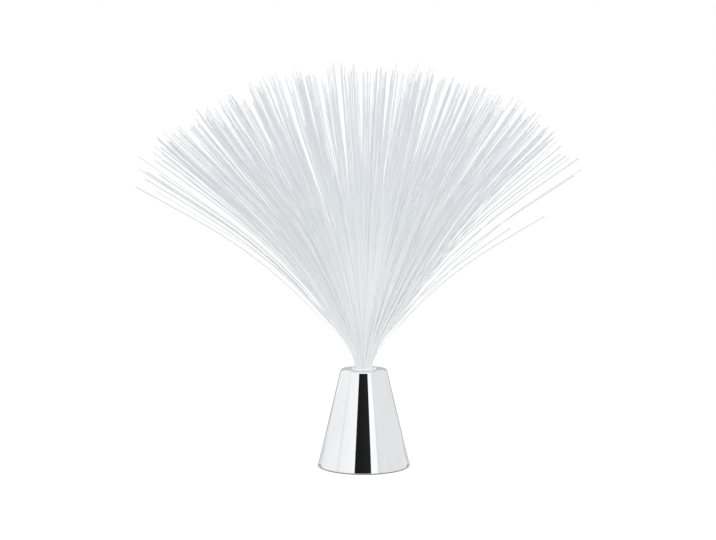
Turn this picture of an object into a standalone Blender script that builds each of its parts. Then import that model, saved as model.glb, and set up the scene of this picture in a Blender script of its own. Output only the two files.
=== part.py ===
# Fibre optic lamp: a chromed cone that holds three AAA cells, a slide switch and a
# colour-changing LED, and a spray of light fibres that plugs into the mouth at its top.
# Metres, +Z up. The origin is on the floor under the lamp's axis, and -Y is the front.

import math

import bmesh
import bpy
import numpy as np
from mathutils import Matrix, Vector

mm = 0.001
full_turn = 2 * math.pi
quarter_turn = math.pi / 2
golden_half_turn = full_turn * (3 - math.sqrt(5)) / 4

# Clearances
fit_gap = 0.3 * mm  # between pieces that touch or slide on one another
overrun = 1 * mm  # how far a cutter runs past the face that it opens
weld_distance = 0.01 * mm

# Facets of the round pieces
shell_steps = 40
fine_steps = 24
plain_steps = 16
small_steps = 10
arc_points = 3
wire_bevel_steps = 2
thin_wire_bevel_steps = 1
smooth_angle = math.radians(35)  # faces that meet at more than this keep a sharp edge

# Base shell, a thin cone that carries the neck tube and the screw bosses inside.
# Its lower end is as wide as the plate with the cells, and its upper end as the neck with its bosses.
base_height = 80 * mm
shell_wall = 1.85 * mm  # measured level
shoulder_radius = 2 * mm
shell_edge_radius = 0.5 * mm
edge_lift = 0.5 * mm  # the shell's lower edge above the floor

# Fibre bundle with its sleeve, and the flanged collar that seats it in the neck
bundle_radius = 7.5 * mm
bundle_length = 19 * mm
slice_thickness = 1.2 * mm  # end slice of the bundle, from which the fibres fan out
sleeve_wall = 0.6 * mm
collar_wall = 0.8 * mm
collar_flange_width = 0.9 * mm
collar_flange_thickness = 1.5 * mm
collar_flange_proud = 0.5 * mm
collar_flange_edge = 0.3 * mm
collar_shelf_width = 1.8 * mm
collar_shelf_thickness = 1 * mm
neck_wall = 1.5 * mm

# Fibre spray, where each strand stands for a few neighbouring fibres
fibre_length = 252 * mm
strand_pairs = 150
strand_fill_share = 0.415  # a strand's radius at its root, of the roots' pitch
strand_tip_radius = 0.5 * mm
strand_edge_margin = 0.45 * mm  # from the outermost strands to the bundle's edge
strand_sides = 3
strand_station_shares = (0, 0.08, 0.3, 0.6, 1)
span_check_shares = (0, 0.25, 0.5, 0.75, 1)
dense_spread = math.radians(52.5)  # end slope of the dense spray's outer strands
stray_spread = math.radians(11)  # what the loosest outer strands add to it
stray_start_share = 0.93
jitter_seed = 7
slope_jitter_share = 0.022
length_jitter_share = 0.025
quick_bend_share = 0.05  # of the length, in which a fibre bends out of the mouth
quick_bend_weight_share = 0.72  # of its end slope, and its own weight bends it over the rest
droop_shares = (0.2, 0.85)  # of the length, between which it droops
bend_samples = 60

# Locks, in which neighbouring strands cling together towards their tips
lock_pairs = 50
lock_turn = 0.9  # radians round the axis, from the strands' own spirals
lock_pull_shares = (0.15, 0.7)  # least and most of the way to a lock's middle, at the tips
lock_start_share = 0.1  # of the fibres' length
lock_seed = 3

# Base plate, set into the shell's lower end
plate_thickness = 2.4 * mm
plate_recess = 0.5 * mm  # the plate's underside above the shell's edge
plate_land = 0.6 * mm  # what is left of the plate beside a foot's recess

# Feet
foot_count = 4
foot_radius = 3.2 * mm
foot_thickness = 1.7 * mm
foot_edge = 0.4 * mm

# Screws that hold the plate to the shell
base_screw_head_radius = 2.4 * mm
base_screw_head_height = 1.2 * mm
base_screw_shaft_radius = 1.25 * mm
base_screw_length = 9.5 * mm
base_screw_sink = 0.1 * mm
base_boss_radius = 2.8 * mm
base_boss_height = 13 * mm
base_boss_clearance = 1.4 * mm  # between a boss and the tray
boss_rib_thickness = 1.5 * mm

# Cross recess and point of every screw
recess_width_share = 0.24  # of the head's radius
recess_reach_share = 0.62
recess_depth_share = 0.6  # of the head's height
head_edge_share = 0.33  # of the head's height
screw_point_share = 1.2  # of the shaft's radius

# AAA cells, side by side, with every second one turned round
cell_count = 3
cell_radius = 5.25 * mm
cell_length = 44.5 * mm
cell_nub_radius = 1.9 * mm
cell_nub_height = 1 * mm
cell_edge = 0.5 * mm
cell_gap = 0.4 * mm
cell_side_room = 0.6 * mm
gaps_along_cell = 5  # outside each contact, and on both sides of the spring and past the nub

# Cell contacts
contact_thickness = 0.4 * mm
contact_width = 8.4 * mm
contact_height = 8.8 * mm
contact_tab_width = 2 * mm
contact_tab_proud = 2.2 * mm
spring_height = 3.4 * mm
spring_base_radius = 3.6 * mm
spring_top_radius = 1.7 * mm
spring_wire_radius = 0.25 * mm
spring_turns = 3
spring_points_per_turn = 9

# Battery tray moulded on the plate
tray_wall = 1.6 * mm
tray_roof = 1.4 * mm
tray_corner_radius = 3 * mm
tray_roof_clearance = 0.6 * mm
tray_door_clearance = 1.5 * mm  # between the door's inner face and the cells
finger_notch_radius = 4 * mm
finger_notch_reach = 1.7 * mm
finger_notch_depth = 1 * mm

# Battery door, hinged at its rear end
door_thickness = 1.6 * mm
hinge_barrel_radius = 1.4 * mm
hinge_pin_radius = 0.8 * mm
hinge_pin_length = 0.9 * mm
latch_width = 8 * mm
latch_thickness = 1.2 * mm
latch_height = 1.1 * mm

# Slide switch beside the tray
switch_length = 10 * mm
switch_width = 5.6 * mm
switch_frame_height = 3.6 * mm
switch_frame_wall = 0.5 * mm
switch_base_height = 1.2 * mm
switch_travel = 2.5 * mm
slider_block_length = 4.8 * mm
slider_block_height = 1.9 * mm
slider_side_gap = 0.35 * mm
knob_length = 3 * mm
knob_width = 2.4 * mm
knob_recess = 0.2 * mm  # the knob's end above the plate's underside
switch_window_margin = 1.3 * mm
switch_window_depth = 1.1 * mm
switch_pocket_wall = 1 * mm
switch_pocket_height = 2.6 * mm
switch_pocket_clearance = 1 * mm  # between the pocket and the tray
switch_pin_count = 3
switch_pin_pitch = 3 * mm
switch_pin_width = 1 * mm
switch_pin_thickness = 0.5 * mm
switch_pin_height = 2.8 * mm

# LED with its board, and the holder that hangs them under the neck
led_radius = 2.5 * mm
led_height = 8.6 * mm
led_flange_width = 0.4 * mm
led_flange_height = 1 * mm
led_lead_pitch = 2.54 * mm
led_lead_width = 0.5 * mm
led_lead_length = 3 * mm
led_air_gap = 1.5 * mm
board_width = 11 * mm
board_thickness = 1.6 * mm
board_lead_hole_radius = 0.65 * mm
holder_plate_thickness = 2 * mm
holder_ring_wall = 1.5 * mm
holder_ear_radius = 3.3 * mm
board_screw_head_radius = 2 * mm
board_screw_head_height = 1.3 * mm
board_screw_shaft_radius = 1 * mm
board_screw_length = 9.5 * mm
holder_boss_radius = 2.4 * mm
holder_boss_clearance = 0.9 * mm  # between a boss and the neck
shell_top_room = 0.15 * mm  # between a boss and the shell's upper end
resistor_radius = 1.15 * mm
resistor_length = 6.3 * mm
resistor_lead_radius = 0.28 * mm
resistor_lead_pitch = 10.16 * mm
resistor_y = 3 * mm
resistor_drop = 0.5 * mm  # from the board's underside to the resistor's body

# Wires
wire_radius = 0.6 * mm
wire_step = 3 * mm
wire_bow = 6 * mm  # how far a wire hangs away from the straight line
wire_bow_shares = (0.33, 0.72)  # where along that line
wire_pad_x_share = 0.55  # of the board screws' distance from the axis
wire_pad_y_share = -0.47  # of half the board's width

# Heights and radii that follow from the sizes above
plate_bottom = edge_lift + plate_recess
plate_top = plate_bottom + plate_thickness
flange_top = base_height + collar_flange_proud
flange_bottom = flange_top - collar_flange_thickness
seat_floor = flange_bottom - fit_gap
slice_bottom = flange_top - slice_thickness
bundle_top = slice_bottom - fit_gap
bundle_bottom = bundle_top - bundle_length
sleeve_inner = bundle_radius + fit_gap
sleeve_outer = sleeve_inner + sleeve_wall
collar_inner = sleeve_outer + fit_gap
collar_outer = collar_inner + collar_wall
collar_flange_radius = collar_outer + collar_flange_width
collar_bottom = bundle_bottom - fit_gap - collar_shelf_thickness
neck_bore = collar_outer + fit_gap
neck_outer = neck_bore + neck_wall
seat_radius = collar_flange_radius + fit_gap
led_top = collar_bottom - led_air_gap
led_bottom = led_top - led_height
board_top = led_bottom - fit_gap
board_bottom = board_top - board_thickness
holder_bottom = board_top + fit_gap
holder_top = holder_bottom + holder_plate_thickness
neck_bottom = holder_top + fit_gap
board_screw_x = neck_outer + holder_boss_clearance + holder_boss_radius
board_half_length = board_screw_x + holder_ear_radius
wire_pad_x = wire_pad_x_share * board_screw_x
wire_pad_y = wire_pad_y_share * board_width / 2
led_flange_radius = led_radius + led_flange_width
holder_ring_outer = neck_bore - fit_gap
holder_ring_top = collar_bottom - fit_gap
door_top = plate_bottom + door_thickness
cell_pitch = 2 * cell_radius + cell_gap
cell_axis_z = door_top + tray_door_clearance + cell_radius
tray_half_width = cell_pitch * (cell_count - 1) / 2 + cell_radius + cell_side_room
tray_length = cell_length + spring_height + 2 * contact_thickness + gaps_along_cell * fit_gap
tray_half_length = tray_length / 2
tray_ceiling = cell_axis_z + cell_radius + tray_roof_clearance
tray_top = tray_ceiling + tray_roof
contact_y = tray_half_length - fit_gap - contact_thickness / 2
contact_bottom = cell_axis_z - contact_height / 2
contact_tab_top = tray_top + contact_tab_proud
hinge_y = fit_gap + hinge_barrel_radius - tray_half_length
hinge_z = plate_bottom + hinge_barrel_radius
switch_bottom = plate_top + fit_gap
switch_frame_top = switch_bottom + switch_frame_height
switch_base_bottom = switch_frame_top + fit_gap
switch_base_top = switch_base_bottom + switch_base_height
switch_pin_top = switch_base_top + fit_gap + switch_pin_height
base_boss_bottom = plate_top + fit_gap
base_boss_top = base_boss_bottom + base_boss_height
tray_outer_x = tray_half_width + tray_wall
tray_outer_y = tray_half_length + tray_wall
switch_pocket_half_x = switch_width / 2 + fit_gap + switch_pocket_wall
switch_centre_x = tray_outer_x + switch_pocket_clearance + switch_pocket_half_x
knob_slot_half_x = knob_width / 2 + fit_gap
foot_recess_radius = foot_radius + fit_gap
notch_end = tray_half_length + finger_notch_reach
window_end = switch_centre_x + knob_slot_half_x + switch_window_margin
foot_ring_radius = max(notch_end, window_end) + plate_land + foot_recess_radius  # clear of both openings
plate_radius = foot_ring_radius + foot_recess_radius + plate_land
top_radius = board_screw_x + holder_boss_radius + shell_top_room + shell_wall
plate_top_share = plate_top / base_height
outside_plate = plate_radius + fit_gap + shell_wall
bottom_radius = (outside_plate - top_radius * plate_top_share) / (1 - plate_top_share)
spray_root_reach = bundle_radius - strand_edge_margin
strand_root_radius = strand_fill_share * spray_root_reach * math.sqrt(math.pi / (2 * strand_pairs))


def outer_radius(z):
    return bottom_radius + (top_radius - bottom_radius) * z / base_height


def inner_radius(z):
    return outer_radius(z) - shell_wall


base_screw_ring_radius = inner_radius(base_boss_top) - base_boss_radius
base_screw_x = tray_outer_x + base_boss_clearance + base_boss_radius
base_screw_turn = math.acos(base_screw_x / base_screw_ring_radius)
base_screw_angles = (base_screw_turn, math.pi - base_screw_turn, math.pi + base_screw_turn, -base_screw_turn)


def clear_scene():
    for item in list(bpy.data.objects):
        bpy.data.objects.remove(item, do_unlink=True)


def new_collection(name):
    collection = bpy.data.collections.new(name)
    bpy.context.scene.collection.children.link(collection)
    return collection


def new_material(name, colour, roughness, metallic=0.0):
    material = bpy.data.materials.new(name)
    material.use_nodes = True
    shader = material.node_tree.nodes["Principled BSDF"]
    shader.inputs["Base Color"].default_value = (*colour, 1)
    shader.inputs["Roughness"].default_value = roughness
    shader.inputs["Metallic"].default_value = metallic
    return material


def place(name, data, look, location=(0, 0, 0), parent=None):
    piece = bpy.data.objects.new(name, data)
    lamp_collection.objects.link(piece)
    piece.location = location
    piece.parent = parent
    data.materials.clear()
    data.materials.append(look)
    return piece


def place_empty(name, location):
    pivot = bpy.data.objects.new(name, None)
    lamp_collection.objects.link(pivot)
    pivot.location = location
    return pivot


def place_tool(name, mesh):
    tool = bpy.data.objects.new(name, mesh)
    tool_collection.objects.link(tool)
    tool.hide_render = True
    tool.display_type = "WIRE"
    return tool


def combine(piece, operation, mesh):
    tool = place_tool(piece.name + "_tool", mesh)
    step = piece.modifiers.new(operation.lower(), "BOOLEAN")
    step.operation = operation
    step.solver = "EXACT"
    step.object = tool


def join(piece, mesh):
    combine(piece, "UNION", mesh)


def cut(piece, mesh):
    combine(piece, "DIFFERENCE", mesh)


def mesh_of(shape, name):
    mesh = bpy.data.meshes.new(name)
    shape.to_mesh(mesh)
    shape.free()
    return mesh


def shade_round(mesh):
    mesh.shade_smooth()
    mesh.set_sharp_from_angle(angle=smooth_angle)
    return mesh


# A box between two corners, with its upright edges rounded if a radius is given
def box(name, low, high, corner_radius=0.0):
    low = Vector(low)
    high = Vector(high)
    shape = bmesh.new()
    matrix = Matrix.Translation((low + high) / 2) @ Matrix.Diagonal((*(high - low), 1))
    bmesh.ops.create_cube(shape, size=1, matrix=matrix)
    if corner_radius > 0:
        upright = [edge for edge in shape.edges if edge.verts[0].co.xy == edge.verts[1].co.xy]
        bmesh.ops.bevel(
            shape, geom=upright, offset=corner_radius, segments=arc_points, profile=0.5, affect="EDGES"
        )
    return mesh_of(shape, name)


# A cylinder that starts at a point and runs along X, Y or Z
def rod(name, start, length, radius, steps, axis="Z"):
    turns = {
        "X": Matrix.Rotation(quarter_turn, 4, "Y"),
        "Y": Matrix.Rotation(-quarter_turn, 4, "X"),
        "Z": Matrix(),
    }
    matrix = Matrix.Translation(start) @ turns[axis] @ Matrix.Translation((0, 0, length / 2))
    shape = bmesh.new()
    bmesh.ops.create_cone(
        shape, cap_ends=True, segments=steps, radius1=radius, radius2=radius, depth=length, matrix=matrix
    )
    return shade_round(mesh_of(shape, name))


# Corners given as (x, z) or (x, z, radius) become an outline with arcs
def rounded(corners):
    outline = []
    for index, corner in enumerate(corners):
        here = Vector(corner[:2])
        if len(corner) == 2:
            outline.append(here)
            continue
        back = (Vector(corners[index - 1][:2]) - here).normalized()
        ahead = (Vector(corners[(index + 1) % len(corners)][:2]) - here).normalized()
        half_angle = back.angle(ahead) / 2
        centre = here + (back + ahead).normalized() * corner[2] / math.sin(half_angle)
        start = here + back * corner[2] / math.tan(half_angle) - centre
        end = here + ahead * corner[2] / math.tan(half_angle) - centre
        for step in range(arc_points + 1):
            outline.append(centre + start.slerp(end, step / arc_points) * corner[2])
    return outline


# A turned piece, from an outline that runs down its outer side
def turned(name, corners, steps):
    outline = rounded(corners)
    solid = outline[0].x == 0 and outline[-1].x == 0
    count = len(outline)
    edges = [(index, (index + 1) % count) for index in range(count - 1 if solid else count)]
    mesh = bpy.data.meshes.new(name)
    mesh.from_pydata([(point.x, 0, point.y) for point in outline], edges, [])
    guide = place_tool(name + "_outline", mesh)
    screw = guide.modifiers.new("turn", "SCREW")
    screw.angle = full_turn
    screw.steps = steps
    screw.render_steps = steps
    screw.use_merge_vertices = True
    screw.merge_threshold = weld_distance
    evaluated = guide.evaluated_get(bpy.context.evaluated_depsgraph_get())
    turned_mesh = bpy.data.meshes.new_from_object(evaluated)
    bpy.data.objects.remove(guide, do_unlink=True)
    return shade_round(turned_mesh)


# A tube along straight spans between points, closed at both ends
def wire_mesh(name, points, radius, resolution):
    curve = bpy.data.curves.new(name, "CURVE")
    curve.dimensions = "3D"
    curve.bevel_depth = radius
    curve.bevel_resolution = resolution
    curve.use_fill_caps = True
    spline = curve.splines.new("POLY")
    spline.points.add(len(points) - 1)
    for slot, point in zip(spline.points, points):
        slot.co = (*point, 1)
    return weld_curve(name, curve)


def weld_curve(name, curve):
    guide = place_tool(name + "_curve", curve)
    evaluated = guide.evaluated_get(bpy.context.evaluated_depsgraph_get())
    mesh = bpy.data.meshes.new_from_object(evaluated)
    bpy.data.objects.remove(guide, do_unlink=True)
    shape = bmesh.new()
    shape.from_mesh(mesh)
    bmesh.ops.remove_doubles(shape, verts=shape.verts, dist=weld_distance)
    bmesh.ops.recalc_face_normals(shape, faces=shape.faces)
    shape.to_mesh(mesh)
    shape.free()
    return shade_round(mesh)


def on_ring(radius, angle, z=0.0):
    return Vector((radius * math.cos(angle), radius * math.sin(angle), z))


def build_shell():
    ceiling = base_height - shell_wall
    corners = [
        (top_radius, base_height, shoulder_radius),
        (outer_radius(edge_lift), edge_lift, shell_edge_radius),
        (inner_radius(edge_lift), edge_lift),
        (inner_radius(ceiling), ceiling),
        (neck_outer, ceiling),
        (neck_outer, neck_bottom),
        (neck_bore, neck_bottom),
        (neck_bore, seat_floor),
        (seat_radius, seat_floor),
        (seat_radius, base_height),
    ]
    shell = place("base_shell", turned("base_shell", corners, shell_steps), looks["chrome"])
    rib_end = inner_radius(base_boss_top) + shell_wall / 2
    for angle in base_screw_angles:
        boss = rod("boss", on_ring(base_screw_ring_radius, angle, base_boss_bottom), base_boss_height,
                   base_boss_radius, small_steps)
        join(shell, boss)
        rib = box("rib", (base_screw_ring_radius, -boss_rib_thickness / 2, base_boss_bottom),
                  (rib_end, boss_rib_thickness / 2, base_boss_top))
        rib.transform(Matrix.Rotation(angle, 4, "Z"))
        join(shell, rib)
        pilot = rod("pilot", on_ring(base_screw_ring_radius, angle, base_boss_bottom - overrun),
                    base_screw_length + overrun, base_screw_shaft_radius + fit_gap, small_steps)
        cut(shell, pilot)
    for side in (-1, 1):
        foot_point = (side * board_screw_x, 0, neck_bottom)
        join(shell, rod("holder_boss", foot_point, base_height - shell_wall / 2 - neck_bottom,
                        holder_boss_radius, small_steps))
        pilot_start = (side * board_screw_x, 0, neck_bottom - overrun)
        cut(shell, rod("holder_pilot", pilot_start, board_screw_length + overrun,
                       board_screw_shaft_radius + fit_gap, small_steps))


def build_plate():
    disc = rod("base_plate", (0, 0, plate_bottom), plate_thickness, plate_radius, shell_steps)
    plate = place("base_plate", disc, looks["black_plastic"])
    join(plate, box("tray", (-tray_outer_x, -tray_outer_y, plate_top - plate_thickness / 2),
                    (tray_outer_x, tray_outer_y, tray_top), tray_corner_radius))
    add_switch_pocket(plate)
    cut(plate, box("tray_room", (-tray_half_width, -tray_half_length, plate_bottom - overrun),
                   (tray_half_width, tray_half_length, tray_ceiling)))
    pin_reach = tray_half_width + hinge_pin_length
    cut(plate, rod("hinge_bore", (-pin_reach, hinge_y, hinge_z), 2 * pin_reach, hinge_pin_radius + fit_gap,
                   small_steps, "X"))
    for x, y in ((cell_x(0), -contact_y), (cell_x(cell_count - 1), contact_y)):
        half_slot = Vector((contact_tab_width / 2 + fit_gap, contact_thickness / 2 + fit_gap, 0))
        cut(plate, box("tab_slot", Vector((x, y, tray_ceiling - overrun)) - half_slot,
                       Vector((x, y, tray_top + overrun)) + half_slot))
    notch_start = (0, notch_end - finger_notch_radius, plate_bottom - overrun)
    notch_length = finger_notch_depth + overrun
    cut(plate, rod("finger_notch", notch_start, notch_length, finger_notch_radius, plain_steps))
    for index in range(foot_count):
        recess_start = on_ring(foot_ring_radius, index * full_turn / foot_count, plate_bottom - overrun)
        recess_length = foot_thickness + fit_gap - recess_start.z
        cut(plate, rod("foot_recess", recess_start, recess_length, foot_recess_radius, plain_steps))
    for angle in base_screw_angles:
        start = on_ring(base_screw_ring_radius, angle, plate_bottom - overrun)
        cut(plate, rod("screw_hole", start, plate_thickness + 2 * overrun, base_screw_shaft_radius + fit_gap,
                       small_steps))
        head_room = base_screw_sink + base_screw_head_height + fit_gap
        cut(plate, rod("screw_recess", start, head_room + overrun, base_screw_head_radius + fit_gap,
                       plain_steps))


def add_switch_pocket(plate):
    half_x = switch_width / 2 + fit_gap
    half_y = switch_length / 2 + fit_gap
    outside = Vector((switch_pocket_half_x, half_y + switch_pocket_wall, 0))
    centre = Vector((switch_centre_x, 0, 0))
    join(plate, box("pocket", centre - outside + Vector((0, 0, plate_top - plate_thickness / 2)),
                    centre + outside + Vector((0, 0, plate_top + switch_pocket_height))))
    inside = Vector((half_x, half_y, 0))
    cut(plate, box("pocket_room", centre - inside + Vector((0, 0, plate_top)),
                   centre + inside + Vector((0, 0, plate_top + switch_pocket_height + overrun))))
    slot = Vector((knob_slot_half_x, (knob_length + switch_travel) / 2 + fit_gap, 0))
    cut(plate, box("knob_slot", centre - slot + Vector((0, 0, plate_bottom - overrun)),
                   centre + slot + Vector((0, 0, plate_top + overrun))))
    window = slot + Vector((switch_window_margin, switch_window_margin, 0))
    window_low = centre - window + Vector((0, 0, plate_bottom - overrun))
    window_high = centre + window + Vector((0, 0, plate_bottom + switch_window_depth))
    cut(plate, box("knob_window", window_low, window_high, switch_window_margin))


def build_door():
    hinge = place_empty("door_hinge_axis", (0, hinge_y, hinge_z))
    half_width = tray_half_width - fit_gap
    front = tray_half_length - fit_gap - hinge_y
    low = plate_bottom - hinge_z
    high = door_top - hinge_z
    panel = box("battery_door", (-half_width, 0, low), (half_width, front, high))
    door = place("battery_door", panel, looks["black_plastic"], parent=hinge)
    barrel_start = Vector((-half_width, 0, 0))
    add_at(door, hinge, rod("barrel", barrel_start, 2 * half_width, hinge_barrel_radius, plain_steps, "X"))
    pin_reach = half_width + hinge_pin_length
    add_at(door, hinge, rod("pins", (-pin_reach, 0, 0), 2 * pin_reach, hinge_pin_radius, small_steps, "X"))
    latch_low = Vector((-latch_width / 2, front - latch_thickness, (low + high) / 2))
    latch_high = Vector((latch_width / 2, front, high + latch_height))
    add_at(door, hinge, box("latch", latch_low, latch_high))


# Joins a shape that is given about a pivot to a piece that hangs on that pivot
def add_at(piece, pivot, mesh):
    mesh.transform(Matrix.Translation(pivot.location))
    join(piece, mesh)


def build_feet():
    corners = [
        (0, foot_thickness),
        (foot_radius, foot_thickness),
        (foot_radius, 0, foot_edge),
        (0, 0),
    ]
    mesh = turned("foot", corners, plain_steps)
    for index in range(foot_count):
        location = on_ring(foot_ring_radius, index * full_turn / foot_count)
        place(f"foot_{index + 1}", mesh, looks["rubber"], location)


# A screw that stands on its head, with its point up
def build_screw(name, location, head_radius, head_height, shaft_radius, length):
    point_length = shaft_radius * screw_point_share
    edge = head_height * head_edge_share
    corners = [
        (0, length),
        (shaft_radius, length - point_length),
        (shaft_radius, head_height),
        (head_radius, head_height),
        (head_radius, edge),
        (head_radius - edge, 0),
        (0, 0),
    ]
    screw = place(name, turned(name, corners, small_steps), looks["zinc"], location)
    reach = head_radius * recess_reach_share
    half_width = head_radius * recess_width_share / 2
    depth = head_height * recess_depth_share
    for half_x, half_y in ((reach, half_width), (half_width, reach)):
        slot = box("recess", (-half_x, -half_y, -overrun), (half_x, half_y, depth))
        slot.transform(Matrix.Translation(location))
        cut(screw, slot)


def build_base_screws():
    for index, angle in enumerate(base_screw_angles):
        location = on_ring(base_screw_ring_radius, angle, plate_bottom + base_screw_sink)
        build_screw(f"base_screw_{index + 1}", location, base_screw_head_radius, base_screw_head_height,
                    base_screw_shaft_radius, base_screw_length)


def cell_x(index):
    return (index - (cell_count - 1) / 2) * cell_pitch


# +1 where a cell's positive end points to +Y
def cell_side(index):
    return 1 if index % 2 == 0 else -1


def build_cells():
    shoulder = cell_length - cell_nub_height
    corners = [
        (0, cell_length),
        (cell_nub_radius, cell_length),
        (cell_nub_radius, shoulder),
        (cell_radius, shoulder, cell_edge),
        (cell_radius, 0, cell_edge),
        (0, 0),
    ]
    mesh = turned("battery", corners, plain_steps)
    tip_y = contact_y - contact_thickness / 2 - fit_gap
    for index in range(cell_count):
        side = cell_side(index)
        location = (cell_x(index), side * (tip_y - cell_length), cell_axis_z)
        cell = place(f"battery_{index + 1}", mesh, looks["cell_wrap"], location)
        cell.rotation_euler.x = -side * quarter_turn


def build_contacts():
    half = contact_thickness / 2
    top = contact_bottom + contact_height
    ends = (("contact_negative", 0, -1), ("contact_positive", cell_count - 1, 1))
    for name, index, side in ends:
        x = cell_x(index)
        y = side * contact_y
        plate = box(name, (x - contact_width / 2, y - half, contact_bottom),
                    (x + contact_width / 2, y + half, top))
        contact = place(name, plate, looks["nickel"])
        join(contact, box("tab", (x - contact_tab_width / 2, y - half, top - contact_tab_width),
                          (x + contact_tab_width / 2, y + half, contact_tab_top)))
    for index in range(cell_count - 1):
        y = cell_side(index) * contact_y
        name = f"contact_link_{index + 1}"
        low = (cell_x(index) - contact_width / 2, y - half, contact_bottom)
        high = (cell_x(index + 1) + contact_width / 2, y + half, top)
        place(name, box(name, low, high), looks["nickel"])


def build_springs():
    rise = spring_height - 2 * spring_wire_radius
    count = spring_turns * spring_points_per_turn
    points = []
    for step in range(count + 1):
        share = step / count
        radius = spring_base_radius + (spring_top_radius - spring_base_radius) * share
        angle = full_turn * spring_turns * share
        points.append(on_ring(radius, angle, spring_wire_radius + rise * share))
    gaps = [
        (points[step] - points[step + spring_points_per_turn]).length - 2 * spring_wire_radius
        for step in range(count + 1 - spring_points_per_turn)
    ]
    print(f"least gap between spring turns: {min(gaps) / mm:.2f} mm")
    mesh = wire_mesh("battery_spring", points, spring_wire_radius, thin_wire_bevel_steps)
    start_y = contact_y - contact_thickness / 2 - fit_gap
    for index in range(cell_count):
        side = -cell_side(index)
        location = (cell_x(index), side * start_y, cell_axis_z)
        spring = place(f"battery_spring_{index + 1}", mesh, looks["nickel"], location)
        spring.rotation_euler.x = side * quarter_turn


def build_switch():
    half_x = switch_width / 2
    half_y = switch_length / 2
    centre = Vector((switch_centre_x, 0, 0))
    frame_low = centre + Vector((-half_x, -half_y, switch_bottom))
    frame_high = centre + Vector((half_x, half_y, switch_frame_top))
    frame = place("switch_frame", box("switch_frame", frame_low, frame_high), looks["nickel"])
    wall = Vector((switch_frame_wall, switch_frame_wall, switch_frame_wall))
    cut(frame, box("room", frame_low + wall, frame_high + Vector((-wall.x, -wall.y, overrun))))
    slot = Vector((knob_slot_half_x, (knob_length + switch_travel) / 2 + fit_gap, 0))
    cut(frame, box("slot", centre - slot + Vector((0, 0, switch_bottom - overrun)),
                   centre + slot + Vector((0, 0, switch_bottom + switch_frame_wall + overrun))))
    base_low = centre + Vector((-half_x, -half_y, switch_base_bottom))
    base_high = centre + Vector((half_x, half_y, switch_base_top))
    place("switch_base", box("switch_base", base_low, base_high), looks["phenolic"])
    for index in range(switch_pin_count):
        y = (index - (switch_pin_count - 1) / 2) * switch_pin_pitch
        name = f"switch_pin_{index + 1}"
        half = Vector((switch_pin_thickness / 2, switch_pin_width / 2, 0))
        low = centre - half + Vector((0, y, switch_base_top + fit_gap))
        high = centre + half + Vector((0, y, switch_pin_top))
        place(name, box(name, low, high), looks["nickel"])
    build_slider()


def build_slider():
    block_bottom = switch_bottom + switch_frame_wall + fit_gap
    off_y = switch_travel / 2
    axis = place_empty("switch_slide_axis", (switch_centre_x, off_y, block_bottom))
    half_x = switch_width / 2 - switch_frame_wall - slider_side_gap
    block = box("switch_slider", (-half_x, -slider_block_length / 2, 0),
                (half_x, slider_block_length / 2, slider_block_height))
    slider = place("switch_slider", block, looks["black_plastic"], parent=axis)
    knob_end = plate_bottom + knob_recess - block_bottom
    add_at(slider, axis, box("knob", (-knob_width / 2, -knob_length / 2, knob_end),
                             (knob_width / 2, knob_length / 2, slider_block_height / 2)))


def build_holder():
    ring_inner = holder_ring_outer - holder_ring_wall
    corners = [
        (holder_ring_outer, holder_ring_top),
        (holder_ring_outer, holder_top),
        (neck_outer, holder_top),
        (neck_outer, holder_bottom),
        (led_flange_radius + fit_gap, holder_bottom),
        (led_flange_radius + fit_gap, holder_top),
        (ring_inner, holder_top),
        (ring_inner, holder_ring_top),
    ]
    holder = place("led_holder", turned("led_holder", corners, fine_steps), looks["white_plastic"])
    for side in (-1, 1):
        ear = rod("ear", (side * board_screw_x, 0, holder_bottom), holder_plate_thickness, holder_ear_radius,
                  plain_steps)
        join(holder, ear)
        inner_x = led_flange_radius + fit_gap + holder_ring_wall
        near = min(side * inner_x, side * board_screw_x)
        far = max(side * inner_x, side * board_screw_x)
        join(holder, box("web", (near, -holder_ear_radius, holder_bottom),
                         (far, holder_ear_radius, holder_top)))
        hole_start = (side * board_screw_x, 0, holder_bottom - overrun)
        cut(holder, rod("hole", hole_start, holder_plate_thickness + 2 * overrun,
                        board_screw_shaft_radius + fit_gap, small_steps))


def build_board():
    half_y = board_width / 2
    mesh = box("led_board", (-board_half_length, -half_y, board_bottom),
               (board_half_length, half_y, board_top), holder_ear_radius)
    board = place("led_board", mesh, looks["board"])
    depth = board_thickness + 2 * overrun
    for side in (-1, 1):
        for x, y, radius in (
            (board_screw_x, 0, board_screw_shaft_radius + fit_gap),
            (led_lead_pitch / 2, 0, board_lead_hole_radius),
            (resistor_lead_pitch / 2, resistor_y, board_lead_hole_radius),
        ):
            cut(board, rod("hole", (side * x, y, board_bottom - overrun), depth, radius, small_steps))
    for index, side in enumerate((-1, 1)):
        head_top = board_bottom - fit_gap
        location = Vector((side * board_screw_x, 0, head_top - board_screw_head_height))
        build_screw(f"board_screw_{index + 1}", location, board_screw_head_radius, board_screw_head_height,
                    board_screw_shaft_radius, board_screw_length)


def build_led():
    corners = [
        (0, led_top),
        (led_radius, led_top, led_radius),
        (led_radius, led_bottom + led_flange_height),
        (led_flange_radius, led_bottom + led_flange_height),
        (led_flange_radius, led_bottom),
        (0, led_bottom),
    ]
    led = place("led", turned("led", dome(corners), plain_steps), looks["led_lens"])
    half = led_lead_width / 2
    for side in (-1, 1):
        x = side * led_lead_pitch / 2
        join(led, box("lead", (x - half, -half, led_bottom - led_lead_length),
                      (x + half, half, led_bottom + led_flange_height / 2)))


# Turns the first rounded corner into a dome whose arc ends on the axis
def dome(corners):
    top, shoulder = corners[:2]
    radius = shoulder[2]
    centre_z = top[1] - radius
    points = [(0, top[1])]
    for step in range(1, arc_points + 1):
        angle = quarter_turn * step / arc_points
        points.append((radius * math.sin(angle), centre_z + radius * math.cos(angle)))
    return points + corners[2:]


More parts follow.
